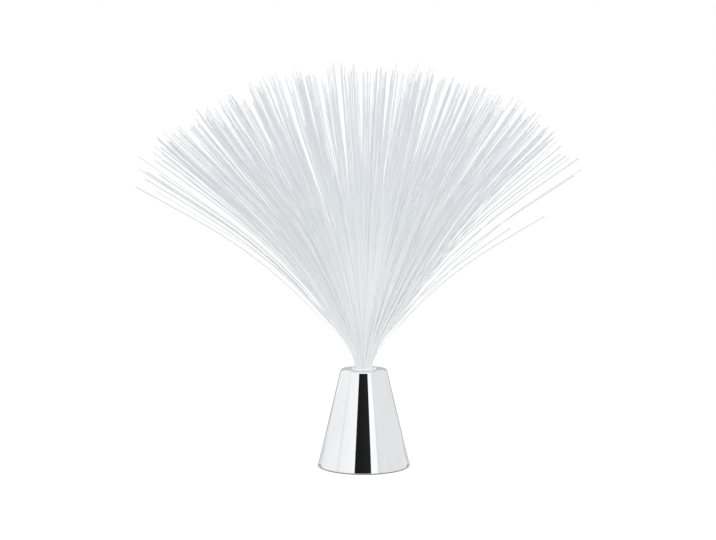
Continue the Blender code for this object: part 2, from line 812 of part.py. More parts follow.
def build_resistor():
    z = board_bottom - resistor_drop - resistor_radius
    half = resistor_length / 2
    body = rod("resistor", (-half, resistor_y, z), resistor_length, resistor_radius, small_steps, "X")
    resistor = place("resistor", body, looks["resistor"])
    lead_x = resistor_lead_pitch / 2
    lead_top = board_bottom + board_thickness / 2
    bend = 2 * resistor_lead_radius
    points = [
        (-lead_x, resistor_y, lead_top),
        (-lead_x, resistor_y, z + bend),
        (bend - lead_x, resistor_y, z),
        (lead_x - bend, resistor_y, z),
        (lead_x, resistor_y, z + bend),
        (lead_x, resistor_y, lead_top),
    ]
    join(resistor, wire_mesh("leads", points, resistor_lead_radius, thin_wire_bevel_steps))


# Evenly spaced points on a smooth curve through the given points
def smooth_route(knots):
    samples = []
    for index in range(len(knots) - 1):
        before = knots[max(index - 1, 0)]
        start = knots[index]
        end = knots[index + 1]
        after = knots[min(index + 2, len(knots) - 1)]
        count = max(2, round((end - start).length / wire_step))
        for step in range(count):
            share = step / count
            samples.append(spline_point(before, start, end, after, share))
    samples.append(knots[-1])
    return samples


def spline_point(before, start, end, after, share):
    start_slope = (end - before) / 2
    end_slope = (after - start) / 2
    cube = share ** 3
    square = share ** 2
    return (
        start * (2 * cube - 3 * square + 1)
        + start_slope * (cube - 2 * square + share)
        + end * (3 * square - 2 * cube)
        + end_slope * (cube - square)
    )


# A wire leaves both ends upright or hangs from them, and bows between
def wire_route(start, end, start_lead, end_lead, bow):
    near, far = (start.lerp(end, share) + bow for share in wire_bow_shares)
    return start, start + start_lead, near, far, end + end_lead, end


def build_wires():
    tab_end = contact_tab_top + fit_gap
    pin_end = switch_pin_top + fit_gap
    pad_end = board_bottom - fit_gap
    plus_tab = Vector((cell_x(cell_count - 1), contact_y, tab_end))
    minus_tab = Vector((cell_x(0), -contact_y, tab_end))
    common_pin = Vector((switch_centre_x, 0, pin_end))
    on_pin = Vector((switch_centre_x, -switch_pin_pitch, pin_end))
    plus_pad = Vector((wire_pad_x, wire_pad_y, pad_end))
    minus_pad = Vector((-wire_pad_x, wire_pad_y, pad_end))
    up = Vector((0, 0, wire_step))
    routes = {
        "wire_red": wire_route(plus_tab, common_pin, up, up, Vector((0, 0, wire_bow))),
        "wire_white": wire_route(on_pin, plus_pad, up, -up, Vector((0, -wire_bow / 2, 0))),
        "wire_black": wire_route(minus_tab, minus_pad, up, -up, Vector((-wire_bow / 2, 0, 0))),
    }
    for name, knots in routes.items():
        place(name, wire_mesh(name, smooth_route(knots), wire_radius, wire_bevel_steps), looks[name])


def build_collar():
    corners = [
        (collar_flange_radius, flange_top, collar_flange_edge),
        (collar_flange_radius, flange_bottom),
        (collar_outer, flange_bottom),
        (collar_outer, collar_bottom),
        (collar_inner - collar_shelf_width, collar_bottom),
        (collar_inner - collar_shelf_width, collar_bottom + collar_shelf_thickness),
        (collar_inner, collar_bottom + collar_shelf_thickness),
        (collar_inner, flange_top),
    ]
    place("collar", turned("collar", corners, fine_steps), looks["frosted_plastic"])


def build_sleeve():
    corners = [
        (sleeve_outer, bundle_top),
        (sleeve_outer, bundle_bottom),
        (sleeve_inner, bundle_bottom),
        (sleeve_inner, bundle_top),
    ]
    place("ferrule_sleeve", turned("ferrule_sleeve", corners, fine_steps), looks["black_plastic"])
    core = rod("fiber_bundle", (0, 0, bundle_bottom), bundle_length, bundle_radius, fine_steps)
    place("fiber_bundle", core, looks["fibre"])


def smooth_step(value, start, end):
    reached = min(1.0, max(0.0, (value - start) / (end - start)))
    return reached * reached * (3 - 2 * reached)


# Share of its end slope that a fibre has reached at a share of its length
def bend_at(share):
    quick = quick_bend_weight_share * (1 - math.exp(-share / quick_bend_share))
    return quick + (1 - quick_bend_weight_share) * smooth_step(share, *droop_shares)


# Points of one fibre from its root on the end slice, with its end slope along X and Y
def strand_points(root, end_slope, length):
    aim = end_slope.normalized()
    points = []
    out = 0.0
    rise = 0.0
    wanted = [round(share * bend_samples) for share in strand_station_shares]
    for sample in range(bend_samples + 1):
        if sample in wanted:
            points.append(root + aim * out + Vector((0, 0, rise)))
        slope = end_slope.length * bend_at((2 * sample + 1) / (2 * bend_samples))
        out += math.sin(slope) * length / bend_samples
        rise += math.cos(slope) * length / bend_samples
    return points


# End slopes of the locks' middles, on a pair of spirals with an even pitch, and how far each lock pulls
def spray_locks():
    random = np.random.default_rng(lock_seed)
    locks = []
    for index in range(lock_pairs):
        end_slope = dense_spread * math.sqrt((2 * index + 1) / (2 * lock_pairs))
        middle = on_ring(end_slope, index * golden_half_turn + lock_turn)
        pull = random.uniform(*lock_pull_shares)
        locks += [(middle, pull), (-middle, pull)]
    return locks


# Roots lie on a pair of spirals with an even pitch, and a fibre leans out as far as its root lies out
def spray_routes():
    random = np.random.default_rng(jitter_seed)
    locks = spray_locks()
    routes = []
    for index in range(strand_pairs):
        share = math.sqrt((2 * index + 1) / (2 * strand_pairs))
        azimuth = index * golden_half_turn
        jitter = random.uniform(-1, 1, 3)
        looseness = max(0.0, (share - stray_start_share) / (1 - stray_start_share))
        end_slope = dense_spread * (share + slope_jitter_share * jitter[0])
        end_slope += stray_spread * looseness * (1 + jitter[1]) / 2
        swing = slope_jitter_share * jitter[1] / max(share, slope_jitter_share)
        length = fibre_length * (1 - length_jitter_share * (1 + jitter[2]) / 2)
        root = on_ring(spray_root_reach * share, azimuth, flange_top - slice_thickness / 2)
        slope = on_ring(max(end_slope, 0.0), azimuth + swing)
        middle, pull = min(locks, key=lambda lock: (lock[0] - slope).length)
        own = strand_points(root, slope, length)
        gathered = strand_points(root, middle, length)
        routes.append([
            point.lerp(target, pull * (1 - looseness) * smooth_step(share_along, lock_start_share, 1))
            for point, target, share_along in zip(own, gathered, strand_station_shares)
        ])
    return routes


def strand_radius(share):
    return strand_root_radius + (strand_tip_radius - strand_root_radius) * math.sqrt(share)


def print_least_gap(routes):
    half = np.array([[tuple(point) for point in route] for route in routes])
    both = np.concatenate([half, half * np.array((-1, -1, 1))])
    least = math.inf
    for station in range(len(strand_station_shares) - 1):
        for share in span_check_shares:
            places = both[:, station] * (1 - share) + both[:, station + 1] * share
            offsets = places[:, None, :] - places[None, :, :]
            distances = np.sqrt((offsets ** 2).sum(axis=2))
            np.fill_diagonal(distances, math.inf)
            ends = strand_station_shares[station:station + 2]
            width = 2 * strand_radius(ends[0] * (1 - share) + ends[1] * share)
            least = min(least, distances.min() - width)
    print(f"least gap between strands: {least / mm:.2f} mm")


def build_spray():
    outline = bpy.data.curves.new("strand_section", "CURVE")
    outline.dimensions = "2D"
    section = outline.splines.new("POLY")
    section.points.add(strand_sides - 1)
    section.use_cyclic_u = True
    for index, slot in enumerate(section.points):
        slot.co = (*on_ring(strand_root_radius, index * full_turn / strand_sides), 1)
    section_guide = place_tool("strand_section", outline)
    curve = bpy.data.curves.new("strands", "CURVE")
    curve.dimensions = "3D"
    curve.bevel_mode = "OBJECT"
    curve.bevel_object = section_guide
    curve.use_fill_caps = True
    routes = spray_routes()
    for route in routes:
        spline = curve.splines.new("POLY")
        spline.points.add(len(route) - 1)
        for slot, point, share in zip(spline.points, route, strand_station_shares):
            slot.co = (*point, 1)
            slot.radius = strand_radius(share) / strand_root_radius
    print_least_gap(routes)
    half = weld_curve("strands", curve)
    bpy.data.objects.remove(section_guide, do_unlink=True)
    shape = bmesh.new()
    shape.from_mesh(half)
    half.transform(Matrix.Rotation(math.pi, 4, "Z"))
    shape.from_mesh(half)
    strands = mesh_of(shape, "strands")
    slice_mesh = rod("fiber_spray", (0, 0, slice_bottom), slice_thickness, bundle_radius, fine_steps)
    spray = place("fiber_spray", slice_mesh, looks["fibre"])
    join(spray, strands)


clear_scene()
lamp_collection = new_collection("fibre_optic_lamp")
tool_collection = new_collection("cutters")
looks = {
    "chrome": new_material("chrome_plating", (0.83, 0.84, 0.85), 0.06, 1.0),
    "black_plastic": new_material("black_plastic", (0.035, 0.035, 0.038), 0.45),
    "white_plastic": new_material("white_plastic", (0.82, 0.82, 0.8), 0.4),
    "frosted_plastic": new_material("frosted_plastic", (0.86, 0.88, 0.88), 0.3),
    "rubber": new_material("rubber", (0.05, 0.05, 0.05), 0.8),
    "zinc": new_material("zinc_plating", (0.62, 0.62, 0.6), 0.3, 1.0),
    "nickel": new_material("nickel_plating", (0.66, 0.64, 0.6), 0.25, 1.0),
    "cell_wrap": new_material("cell_wrap", (0.16, 0.3, 0.2), 0.35),
    "phenolic": new_material("phenolic_board", (0.32, 0.18, 0.08), 0.6),
    "board": new_material("circuit_board", (0.06, 0.25, 0.1), 0.4),
    "led_lens": new_material("led_lens", (0.85, 0.88, 0.9), 0.1),
    "resistor": new_material("resistor_body", (0.55, 0.42, 0.26), 0.5),
    "wire_red": new_material("red_insulation", (0.5, 0.03, 0.03), 0.45),
    "wire_black": new_material("black_insulation", (0.02, 0.02, 0.02), 0.45),
    "wire_white": new_material("white_insulation", (0.8, 0.8, 0.78), 0.45),
    "fibre": new_material("light_fibre", (0.78, 0.8, 0.83), 0.25),
}
build_shell()
build_plate()
build_door()
build_feet()
build_base_screws()
build_cells()
build_contacts()
build_springs()
build_switch()
build_holder()
build_board()
build_led()
build_resistor()
build_wires()
build_collar()
build_sleeve()
build_spray()
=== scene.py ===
# Fibre optic lamp: a chromed cone with a spray of light fibres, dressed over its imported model.
# Metres, +Z up, and -Y is the front. Sizes in the dictionaries are in millimetres.

import math

import bmesh
import bpy
import numpy as np
from mathutils import Matrix, Vector


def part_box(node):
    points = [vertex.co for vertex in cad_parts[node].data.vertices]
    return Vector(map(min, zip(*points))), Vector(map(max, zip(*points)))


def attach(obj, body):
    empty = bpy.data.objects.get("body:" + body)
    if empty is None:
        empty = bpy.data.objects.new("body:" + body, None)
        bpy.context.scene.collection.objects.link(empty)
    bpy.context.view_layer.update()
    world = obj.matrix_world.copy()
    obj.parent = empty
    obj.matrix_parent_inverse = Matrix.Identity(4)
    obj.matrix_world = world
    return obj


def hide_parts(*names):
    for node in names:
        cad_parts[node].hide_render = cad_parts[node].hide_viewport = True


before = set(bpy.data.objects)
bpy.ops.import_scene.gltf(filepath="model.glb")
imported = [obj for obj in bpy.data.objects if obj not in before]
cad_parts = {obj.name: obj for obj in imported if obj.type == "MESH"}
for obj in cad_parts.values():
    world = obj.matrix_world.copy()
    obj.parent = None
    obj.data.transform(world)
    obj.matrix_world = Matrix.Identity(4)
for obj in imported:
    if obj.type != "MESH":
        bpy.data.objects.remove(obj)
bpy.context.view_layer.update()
mm = 0.001
fullTurn = 2 * math.pi
print("frame loaded:", len(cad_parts), "nodes")


# ---- small tools for colours, nodes and meshes

def linear(hexColour):  # an sRGB hex value as linear red, green, blue and alpha
    shares = [int(hexColour[at:at + 2], 16) / 255 for at in (0, 2, 4)]
    return (*[c / 12.92 if c <= 0.04045 else ((c + 0.055) / 1.055) ** 2.4 for c in shares], 1.0)


def addNode(tree, kind, settings=None, links=None):
    node = tree.nodes.new(kind)
    for name, value in (settings or {}).items():
        if isinstance(name, int) or name in node.inputs:
            node.inputs[name].default_value = value
        else:
            setattr(node, name, value)
    for name, source in (links or {}).items():
        tree.links.new(source, node.inputs[name])
    return node


def newMaterial(look):
    material = bpy.data.materials.new(look["name"])
    material.use_nodes = True
    tree = material.node_tree
    shader = tree.nodes["Principled BSDF"]
    for socket, value in look.get("shader", {}).items():
        shader.inputs[socket].default_value = value
    return material, tree, shader


# Noise at a real size in millimetres, along the object's own axes, from 0 to 1
def grain(tree, size, detail=3.0):
    place = addNode(tree, "ShaderNodeTexCoord")
    stretch = addNode(tree, "ShaderNodeMapping", {"Scale": [1 / (length * mm) for length in size]},
                      {"Vector": place.outputs["Object"]})
    return addNode(tree, "ShaderNodeTexNoise", {"Scale": 1.0, "Detail": detail},
                   {"Vector": stretch.outputs["Vector"]}).outputs["Fac"]


# A ramp over a value, from stops as (position, sRGB hex colour or grey level)
def addRamp(tree, value, stops, interpolation="LINEAR"):
    node = addNode(tree, "ShaderNodeValToRGB", None, {"Fac": value})
    ramp = node.color_ramp
    ramp.interpolation = interpolation
    ramp.elements.remove(ramp.elements[1])
    for index, (position, shade) in enumerate(stops):
        stop = ramp.elements[0] if index == 0 else ramp.elements.new(position)
        stop.position = position
        stop.color = linear(shade) if isinstance(shade, str) else (shade, shade, shade, 1)
    return node.outputs["Color"]


def addGloss(tree, shader, look):  # roughness that wanders between two values
    low, high = look["roughness"]
    gloss = addNode(tree, "ShaderNodeMapRange", {"To Min": low, "To Max": high},
                    {"Value": grain(tree, look["glossSize"])})
    tree.links.new(gloss.outputs["Result"], shader.inputs["Roughness"])


def addRelief(tree, shader, height, strength, distance):
    bump = addNode(tree, "ShaderNodeBump", {"Strength": strength, "Distance": distance * mm}, {"Height": height})
    tree.links.new(bump.outputs["Normal"], shader.inputs["Normal"])


tintStops = (0.35, 0.65)


# A surface whose colour wanders between two close shades, whose gloss wanders too, and which has a fine relief
def makeSurface(look):
    material, tree, shader = newMaterial(look)
    shades = addRamp(tree, grain(tree, look["tintSize"]), zip(tintStops, (look["dark"], look["light"])))
    tree.links.new(shades, shader.inputs["Base Color"])
    addGloss(tree, shader, look)
    if look.get("relief"):
        addRelief(tree, shader, grain(tree, look["reliefSize"]), look.get("reliefStrength", 0.4), look["relief"])
    return material


def newPiece(name, mesh, material, body, replaced=()):
    piece = bpy.data.objects.new(name, mesh)
    bpy.context.scene.collection.objects.link(piece)
    mesh.materials.clear()
    mesh.materials.append(material)
    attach(piece, body)
    if replaced:
        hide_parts(*replaced)
    return piece


def dressNode(name, material):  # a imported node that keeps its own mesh
    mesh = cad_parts[name].data
    mesh.materials.clear()
    mesh.materials.append(material)


def meshOf(name, shape, sharpAngle=40):
    bmesh.ops.recalc_face_normals(shape, faces=shape.faces)
    mesh = bpy.data.meshes.new(name)
    shape.to_mesh(mesh)
    shape.free()
    mesh.shade_smooth()
    mesh.set_sharp_from_angle(angle=math.radians(sharpAngle))
    return mesh


# Corners (x, z) or (x, z, radius) in millimetres become an outline with rounded corners. Two extra points
# near the ends of each long span keep the light on it even.
def roundOutline(corners, arcSteps=6, closed=True):
    count = len(corners)
    spans = []
    for index, corner in enumerate(corners):
        here = Vector(corner[:2])
        if len(corner) == 2 or corner[2] <= 0:
            spans.append([here])
            continue
        back = (Vector(corners[index - 1][:2]) - here).normalized()
        ahead = (Vector(corners[(index + 1) % count][:2]) - here).normalized()
        halfAngle = back.angle(ahead) / 2
        centre = here + (back + ahead).normalized() * corner[2] / math.sin(halfAngle)
        start = here + back * corner[2] / math.tan(halfAngle) - centre
        end = here + ahead * corner[2] / math.tan(halfAngle) - centre
        spans.append([centre + start.slerp(end, step / arcSteps) * corner[2] for step in range(arcSteps + 1)])
    outline = []
    for index, span in enumerate(spans):
        outline += span
        last, following = span[-1], spans[(index + 1) % count][0]
        length = (following - last).length
        if length > 2 and (closed or index < count - 1):
            inset = 0.25 / length
            outline += [last.lerp(following, inset), last.lerp(following, 1 - inset)]
    return outline


# Turns an outline in millimetres round the Z axis. An outline that starts and ends at x 0 is solid.
def turn(shape, outline, steps, centre=(0, 0, 0)):
    solid = abs(outline[0][0]) < 1e-6 and abs(outline[-1][0]) < 1e-6
    rings = []
    for x, z in outline:
        if x < 1e-6:
            rings.append([shape.verts.new((centre[0], centre[1], centre[2] + z * mm))])
            continue
        rings.append([
            shape.verts.new((centre[0] + x * mm * math.cos(fullTurn * step / steps),
                             centre[1] + x * mm * math.sin(fullTurn * step / steps), centre[2] + z * mm))
            for step in range(steps)
        ])
    pairs = list(zip(rings, rings[1:]))
    if not solid:
        pairs.append((rings[-1], rings[0]))
    for upper, lower in pairs:
        for step in range(steps):
            after = (step + 1) % steps
            around = ((upper, step), (upper, after), (lower, after), (lower, step))
            corners = list(dict.fromkeys(ring[at % len(ring)] for ring, at in around))
            if len(corners) > 2:
                shape.faces.new(corners)


def addBlock(shape, low, high, bevel=0.0, segments=2, matrix=None):  # corners in millimetres
    low, high = Vector(low) * mm, Vector(high) * mm
    place = Matrix.Translation((low + high) / 2) @ Matrix.Diagonal((*(high - low), 1))
    made = bmesh.ops.create_cube(shape, size=1, matrix=place)["verts"]
    if matrix is not None:
        bmesh.ops.transform(shape, matrix=matrix, verts=made)
    if bevel > 0:
        edges = list(dict.fromkeys(edge for vert in made for edge in vert.link_edges))
        bmesh.ops.bevel(shape, geom=edges, offset=bevel * mm, segments=segments, profile=0.5, affect="EDGES")


# Round tubes along paths: an array of paths by stations by 3, in metres, with a radius at each station of each
def sweepTubes(name, paths, radii, sides):
    count, stations = paths.shape[:2]
    tangents = np.gradient(paths, axis=1)
    tangents /= np.linalg.norm(tangents, axis=2, keepdims=True)
    sideways = np.cross(tangents[:, 0], paths[:, -1] - paths[:, 0])
    bent = np.linalg.norm(sideways, axis=1, keepdims=True) > 1e-7
    away = np.where(bent, sideways, np.cross(tangents[:, 0], (1, 0, 0)))
    first = np.cross(away[:, None, :], tangents)
    first /= np.linalg.norm(first, axis=2, keepdims=True)
    second = np.cross(tangents, first)
    turns = (np.arange(sides) * fullTurn / sides)[None, None, :, None]
    ring = first[:, :, None, :] * np.cos(turns) + second[:, :, None, :] * np.sin(turns)
    points = (paths[:, :, None, :] + ring * radii[:, :, None, None]).reshape(-1, 3)
    faces = []
    for tube in range(count):
        for station in range(stations - 1):
            here = (tube * stations + station) * sides
            for side in range(sides):
                after = (side + 1) % sides
                faces.append((here + side, here + after, here + sides + after, here + sides + side))
        start = tube * stations * sides
        end = start + (stations - 1) * sides
        faces.append(tuple(start + side for side in reversed(range(sides))))
        faces.append(tuple(end + side for side in range(sides)))
    mesh = bpy.data.meshes.new(name)
    mesh.from_pydata(points.tolist(), [], faces)
    mesh.shade_smooth()
    mesh.set_sharp_from_angle(angle=math.radians(70))
    return mesh


def cutMesh(name, mesh, cutter):  # takes one mesh out of another
    solid = bpy.data.objects.new(name, mesh)
    tool = bpy.data.objects.new(name + "Tool", cutter)
    for item in (solid, tool):
        bpy.context.scene.collection.objects.link(item)
    step = solid.modifiers.new("cut", "BOOLEAN")
    step.operation = "DIFFERENCE"
    step.object = tool
    result = bpy.data.meshes.new_from_object(solid.evaluated_get(bpy.context.evaluated_depsgraph_get()))
    for item in (solid, tool):
        bpy.data.objects.remove(item, do_unlink=True)
    result.name = name
    result.shade_smooth()
    result.set_sharp_from_angle(angle=math.radians(40))
    return result


# ---- camera, floor, light and the studio cards that the chrome mirrors

cameraSet = {"place": (0, -0.8973, 0.1956), "pitch": -0.0386, "turn": 0.0053, "lens": 55.05}


def makeCamera():
    data = bpy.data.cameras.new("camera")
    data.sensor_width = 36
    data.lens = cameraSet["lens"]
    data.clip_end = 50
    camera = bpy.data.objects.new("camera", data)
    camera.location = cameraSet["place"]
    camera.rotation_euler = (math.pi / 2 + cameraSet["pitch"], 0, cameraSet["turn"])
    bpy.context.scene.collection.objects.link(camera)
    bpy.context.scene.camera = camera


worldSet = {"seen": "FFFFFF", "lightColour": "FBFCFF", "lightStrength": 0.72}


# The camera, the chrome and clear plastic see plain white, and everything else gets plain studio light
def makeWorld():
    world = bpy.data.worlds.new("studio")
    world.use_nodes = True
    tree = world.node_tree
    tree.nodes.clear()
    ray = addNode(tree, "ShaderNodeLightPath")
    seen = addNode(tree, "ShaderNodeMath", {"operation": "MAXIMUM"},
                   {0: ray.outputs["Is Camera Ray"], 1: ray.outputs["Is Glossy Ray"]})
    seenToo = addNode(tree, "ShaderNodeMath", {"operation": "MAXIMUM"},
                      {0: seen.outputs[0], 1: ray.outputs["Is Transmission Ray"]})
    light = addNode(tree, "ShaderNodeBackground",
                    {"Color": linear(worldSet["lightColour"]), "Strength": worldSet["lightStrength"]})
    white = addNode(tree, "ShaderNodeBackground", {"Color": linear(worldSet["seen"]), "Strength": 1.0})
    mix = addNode(tree, "ShaderNodeMixShader", None,
                  {0: seenToo.outputs[0], 1: light.outputs[0], 2: white.outputs[0]})
    addNode(tree, "ShaderNodeOutputWorld", None, {"Surface": mix.outputs[0]})
    bpy.context.scene.world = world


lampSet = {
    "keyLamp": {"place": (-0.9, -1.1, 1.5), "aim": (0, 0, 0.16), "size": 1.1, "power": 12.0, "colour": "FFFDF9"},
    "fillLamp": {"place": (1.2, -0.5, 1.0), "aim": (0, 0, 0.16), "size": 1.2, "power": 7.0, "colour": "F8FBFF"},
}


def makeLamps():
    for name, lamp in lampSet.items():
        data = bpy.data.lights.new(name, "AREA")
        data.shape = "SQUARE"
        data.size = lamp["size"]
        data.energy = lamp["power"]
        data.color = linear(lamp["colour"])[:3]
        item = bpy.data.objects.new(name, data)
        item.location = lamp["place"]
        towards = Vector(lamp["aim"]) - Vector(lamp["place"])
        item.rotation_euler = towards.to_track_quat("-Z", "Y").to_euler()
        item.visible_glossy = False
        bpy.context.scene.collection.objects.link(item)


floorSet = {"halfSide": 4.0, "colour": "F4F4F4", "seen": (0.9, 0.37), "mirrored": (0.62, 0.36), "contact": 7.0,
            "contactShade": 0.3}


# A pale matt floor. What the camera and the chrome see of it is lifted to white, with the lamp's shadow kept.
def makeFloor():
    side = floorSet["halfSide"]
    shape = bmesh.new()
    bmesh.ops.create_grid(shape, x_segments=8, y_segments=8, size=side)
    mesh = bpy.data.meshes.new("floor")
    shape.to_mesh(mesh)
    shape.free()
    material = bpy.data.materials.new("paper sweep")
    material.use_nodes = True
    tree = material.node_tree
    tree.nodes.clear()
    ray = addNode(tree, "ShaderNodeLightPath")
    clear = addNode(tree, "ShaderNodeMath", {"operation": "MAXIMUM"},
                    {0: ray.outputs["Is Camera Ray"], 1: ray.outputs["Is Transmission Ray"]})
    paper = addNode(tree, "ShaderNodeBsdfDiffuse", {"Color": linear(floorSet["colour"])})
    # Painted contact shadow: ambient occlusion dims the lift where the floor meets the base
    near = addNode(tree, "ShaderNodeAmbientOcclusion", {"Distance": floorSet["contact"] * mm})
    surface = paper.outputs[0]
    viewers = ((ray.outputs["Is Glossy Ray"], floorSet["mirrored"]), (clear.outputs[0], floorSet["seen"]))
    for who, (shade, lift) in viewers:
        shaded = addNode(tree, "ShaderNodeBsdfDiffuse", {"Color": (shade, shade, shade, 1)})
        level = addNode(tree, "ShaderNodeMapRange", {"From Min": floorSet["contactShade"], "To Max": lift},
                        {"Value": near.outputs["AO"]})
        glow = addNode(tree, "ShaderNodeEmission", None, {"Strength": level.outputs["Result"]})
        lifted = addNode(tree, "ShaderNodeAddShader", None, {0: shaded.outputs[0], 1: glow.outputs[0]})
        mix = addNode(tree, "ShaderNodeMixShader", None, {0: who, 1: surface, 2: lifted.outputs[0]})
        surface = mix.outputs[0]
    addNode(tree, "ShaderNodeOutputMaterial", None, {"Surface": surface})
    mesh.materials.append(material)
    floor = bpy.data.objects.new("floor", mesh)
    bpy.context.scene.collection.objects.link(floor)


# Cards round the lamp: degrees to the right of the camera's side, degrees above the horizon, metres away, and
# strengths at their left and right edges. Only mirror-like surfaces see them.
cardSet = {
    "blackFlag": {"turn": (-22.8, 18.3), "rise": (-4, 32), "away": 1.3, "strength": (0.012, 0.019)},
    "rightBank": {"turn": (18.3, 35), "rise": (-8, 70), "away": 1.3, "strength": (1.12, 1.12)},
    "rightSeam": {"turn": (36.5, 41.5), "rise": (-8, 70), "away": 1.3, "strength": (0.82, 0.85)},
    "rightWall": {"turn": (41.5, 142), "rise": (-8, 70), "away": 1.3, "strength": (0.9, 0.87)},
    "leftBank": {"turn": (-61, -22.8), "rise": (-8, 70), "away": 1.3, "strength": (1.03, 1.09)},
    "leftSeam": {"turn": (-70, -66), "rise": (-8, 70), "away": 1.3, "strength": (0.89, 0.89)},
    "topBank": {"turn": (-22.8, 18.3), "rise": (32, 70), "away": 1.3, "strength": (1.08, 1.08)},
    "backWall": {"turn": (143, 217), "rise": (-14, 34), "away": 0.34, "strength": (0.58, 0.58)},
}
cardCentre = 0.04  # metres above the floor
# Grey boards on the table, beside and behind the lamp: millimetres from the axis, degrees outwards from
# straight back, lengths, and strengths at their inner and outer edges. They and the ring draw the dark outline
# of the cone's lower half.
boardSet = {"start": 38.4, "outwards": (0, 46), "length": (1, 420), "height": 0.6, "strength": (0.5, 0.82)}
ringSet = {"radius": (38.6, 66), "height": 0.5, "strength": (0.42, 0.5)}


def stageCard(name, rows, strength):  # rows of corners, each from the first edge to the second
    shape = bmesh.new()
    uv = shape.loops.layers.uv.new("across")
    grid = [[shape.verts.new(corner) for corner in row] for row in rows]
    last = len(rows[0]) - 1
    for row, above in zip(grid, grid[1:]):
        for at in range(last):
            face = shape.faces.new((row[at], row[at + 1], above[at + 1], above[at]))
            for loop, across in zip(face.loops, (at, at + 1, at + 1, at)):
                loop[uv].uv = (across / last, 0.5)
    mesh = bpy.data.meshes.new(name)
    shape.to_mesh(mesh)
    shape.free()
    material = bpy.data.materials.new(name)
    material.use_nodes = True
    tree = material.node_tree
    tree.nodes.clear()
    across = addNode(tree, "ShaderNodeUVMap", {"uv_map": "across"})
    apart = addNode(tree, "ShaderNodeSeparateXYZ", None, {0: across.outputs["UV"]})
    level = addNode(tree, "ShaderNodeMapRange", {"To Min": strength[0], "To Max": strength[1]},
                    {"Value": apart.outputs["X"]})
    glow = addNode(tree, "ShaderNodeEmission", None, {"Strength": level.outputs["Result"]})
    addNode(tree, "ShaderNodeOutputMaterial", None, {"Surface": glow.outputs[0]})
    material.cycles.emission_sampling = "NONE"
    mesh.materials.append(material)
    card = bpy.data.objects.new(name, mesh)
    for sense in ("camera", "diffuse", "transmission", "volume_scatter", "shadow"):
        setattr(card, "visible_" + sense, False)
    bpy.context.scene.collection.objects.link(card)


def makeCards():
    for name, card in cardSet.items():
        away = card["away"]
        stageCard(name, [
            [(away * math.cos(rise) * math.sin(turned), -away * math.cos(rise) * math.cos(turned),
              cardCentre + away * math.sin(rise))
             for turned in np.radians(np.linspace(*card["turn"], 17))]
            for rise in np.radians(np.linspace(*card["rise"], 9))
        ], card["strength"])
    for name, side in (("leftBoard", -1), ("rightBoard", 1)):
        stageCard(name, [
            [(side * (boardSet["start"] + reach * math.sin(out)) * mm, reach * math.cos(out) * mm,
              boardSet["height"] * mm)
             for out in np.radians(np.linspace(*boardSet["outwards"], 9))]
            for reach in np.linspace(*boardSet["length"], 5)
        ], boardSet["strength"])
    stageCard("tableRing", [
        [(radius * mm * math.cos(angle), radius * mm * math.sin(angle), ringSet["height"] * mm)
         for radius in ringSet["radius"]]
        for angle in np.linspace(0, fullTurn, 97)
    ], ringSet["strength"])


# ---- materials

# Bright chromium plate over moulded ABS: a near mirror that shows faint draw lines down the cone
chromeLook = {
    "name": "chromium plate on ABS", "shader": {"Metallic": 1.0},
    "dark": "EBEDEE", "light": "F0F1F2", "tintSize": (9, 9, 60),
    "roughness": (0.02, 0.05), "glossSize": (1.6, 1.6, 30),
    "relief": 0.0015, "reliefSize": (5, 5, 40), "reliefStrength": 0.15,
}
# Black ABS, injection moulded in a spark-eroded tool: a dull, fine-grained surface
blackAbsLook = {
    "name": "spark-grained black ABS",
    "dark": "1C1C1D", "light": "232324", "tintSize": (14, 14, 14),
    "roughness": (0.42, 0.56), "glossSize": (1.2, 1.2, 1.2),
    "relief": 0.05, "reliefSize": (0.45, 0.45, 0.45), "reliefStrength": 0.35,
}
# White polyamide, moulded smooth: the LED's holder
whiteNylonLook = {
    "name": "smooth white nylon",
    "dark": "DCDCD6", "light": "E6E6E1", "tintSize": (8, 8, 8),
    "roughness": (0.34, 0.46), "glossSize": (2, 2, 2),
    "relief": 0.02, "reliefSize": (1, 1, 1),
}
# Frosted polycarbonate, blasted tool: a soft milky gloss, and a painted glow that lifts the collar out of the spray's
# shade
frostedLook = {
    "name": "frosted polycarbonate",
    "shader": {"IOR": 1.58, "Emission Color": (1, 1, 1, 1), "Emission Strength": 0.09},  # painted glow against the spray's shade
    "dark": "EDF0F0", "light": "F5F7F7", "tintSize": (6, 6, 6),
    "roughness": (0.28, 0.4), "glossSize": (0.8, 0.8, 0.8),
    "relief": 0.01, "reliefSize": (0.5, 0.5, 0.5), "reliefStrength": 0.3,
}
# Acrylic (PMMA) light fibre, drawn: painted near white by the mouth, where the packed fibres shade each other, and a
# cool pale grey further out.
# The painted shades and a painted glow from the fibres' sides, which lifts the shaded core, are given by millimetres
# from the mouth.
fibreLook = {
    "name": "drawn acrylic fibre", "shader": {"IOR": 1.49},
    # Painted shades: near white by the mouth, to offset the shade that the packed fibres cast on each other
    "shades": ((0, "FBFCFC"), (85, "FBFCFC"), (110, "F7F9F9"), (150, "F0F3F4"), (200, "E7EAED"), (250, "E0E3E6")),
    "roughness": (0.3, 0.42), "glossSize": (12, 12, 40), "toneAndShadeFrom": (0.08, 0.32),
    # Painted glow: emission strength near the mouth that lifts the core out of the fibres' shade on each other
    "paintedGlow": ((0, 0.07), (10, 0.035), (40, 0.03), (90, 0.015), (120, 0.0)),
}
# Moulded silicone rubber pads with a little dust on them
rubberLook = {
    "name": "moulded silicone rubber",
    "dark": "202021", "light": "2B2B2C", "tintSize": (1.5, 1.5, 1.5),
    "roughness": (0.68, 0.86), "glossSize": (0.9, 0.9, 0.9),
    "relief": 0.05, "reliefSize": (0.4, 0.4, 0.4),
}
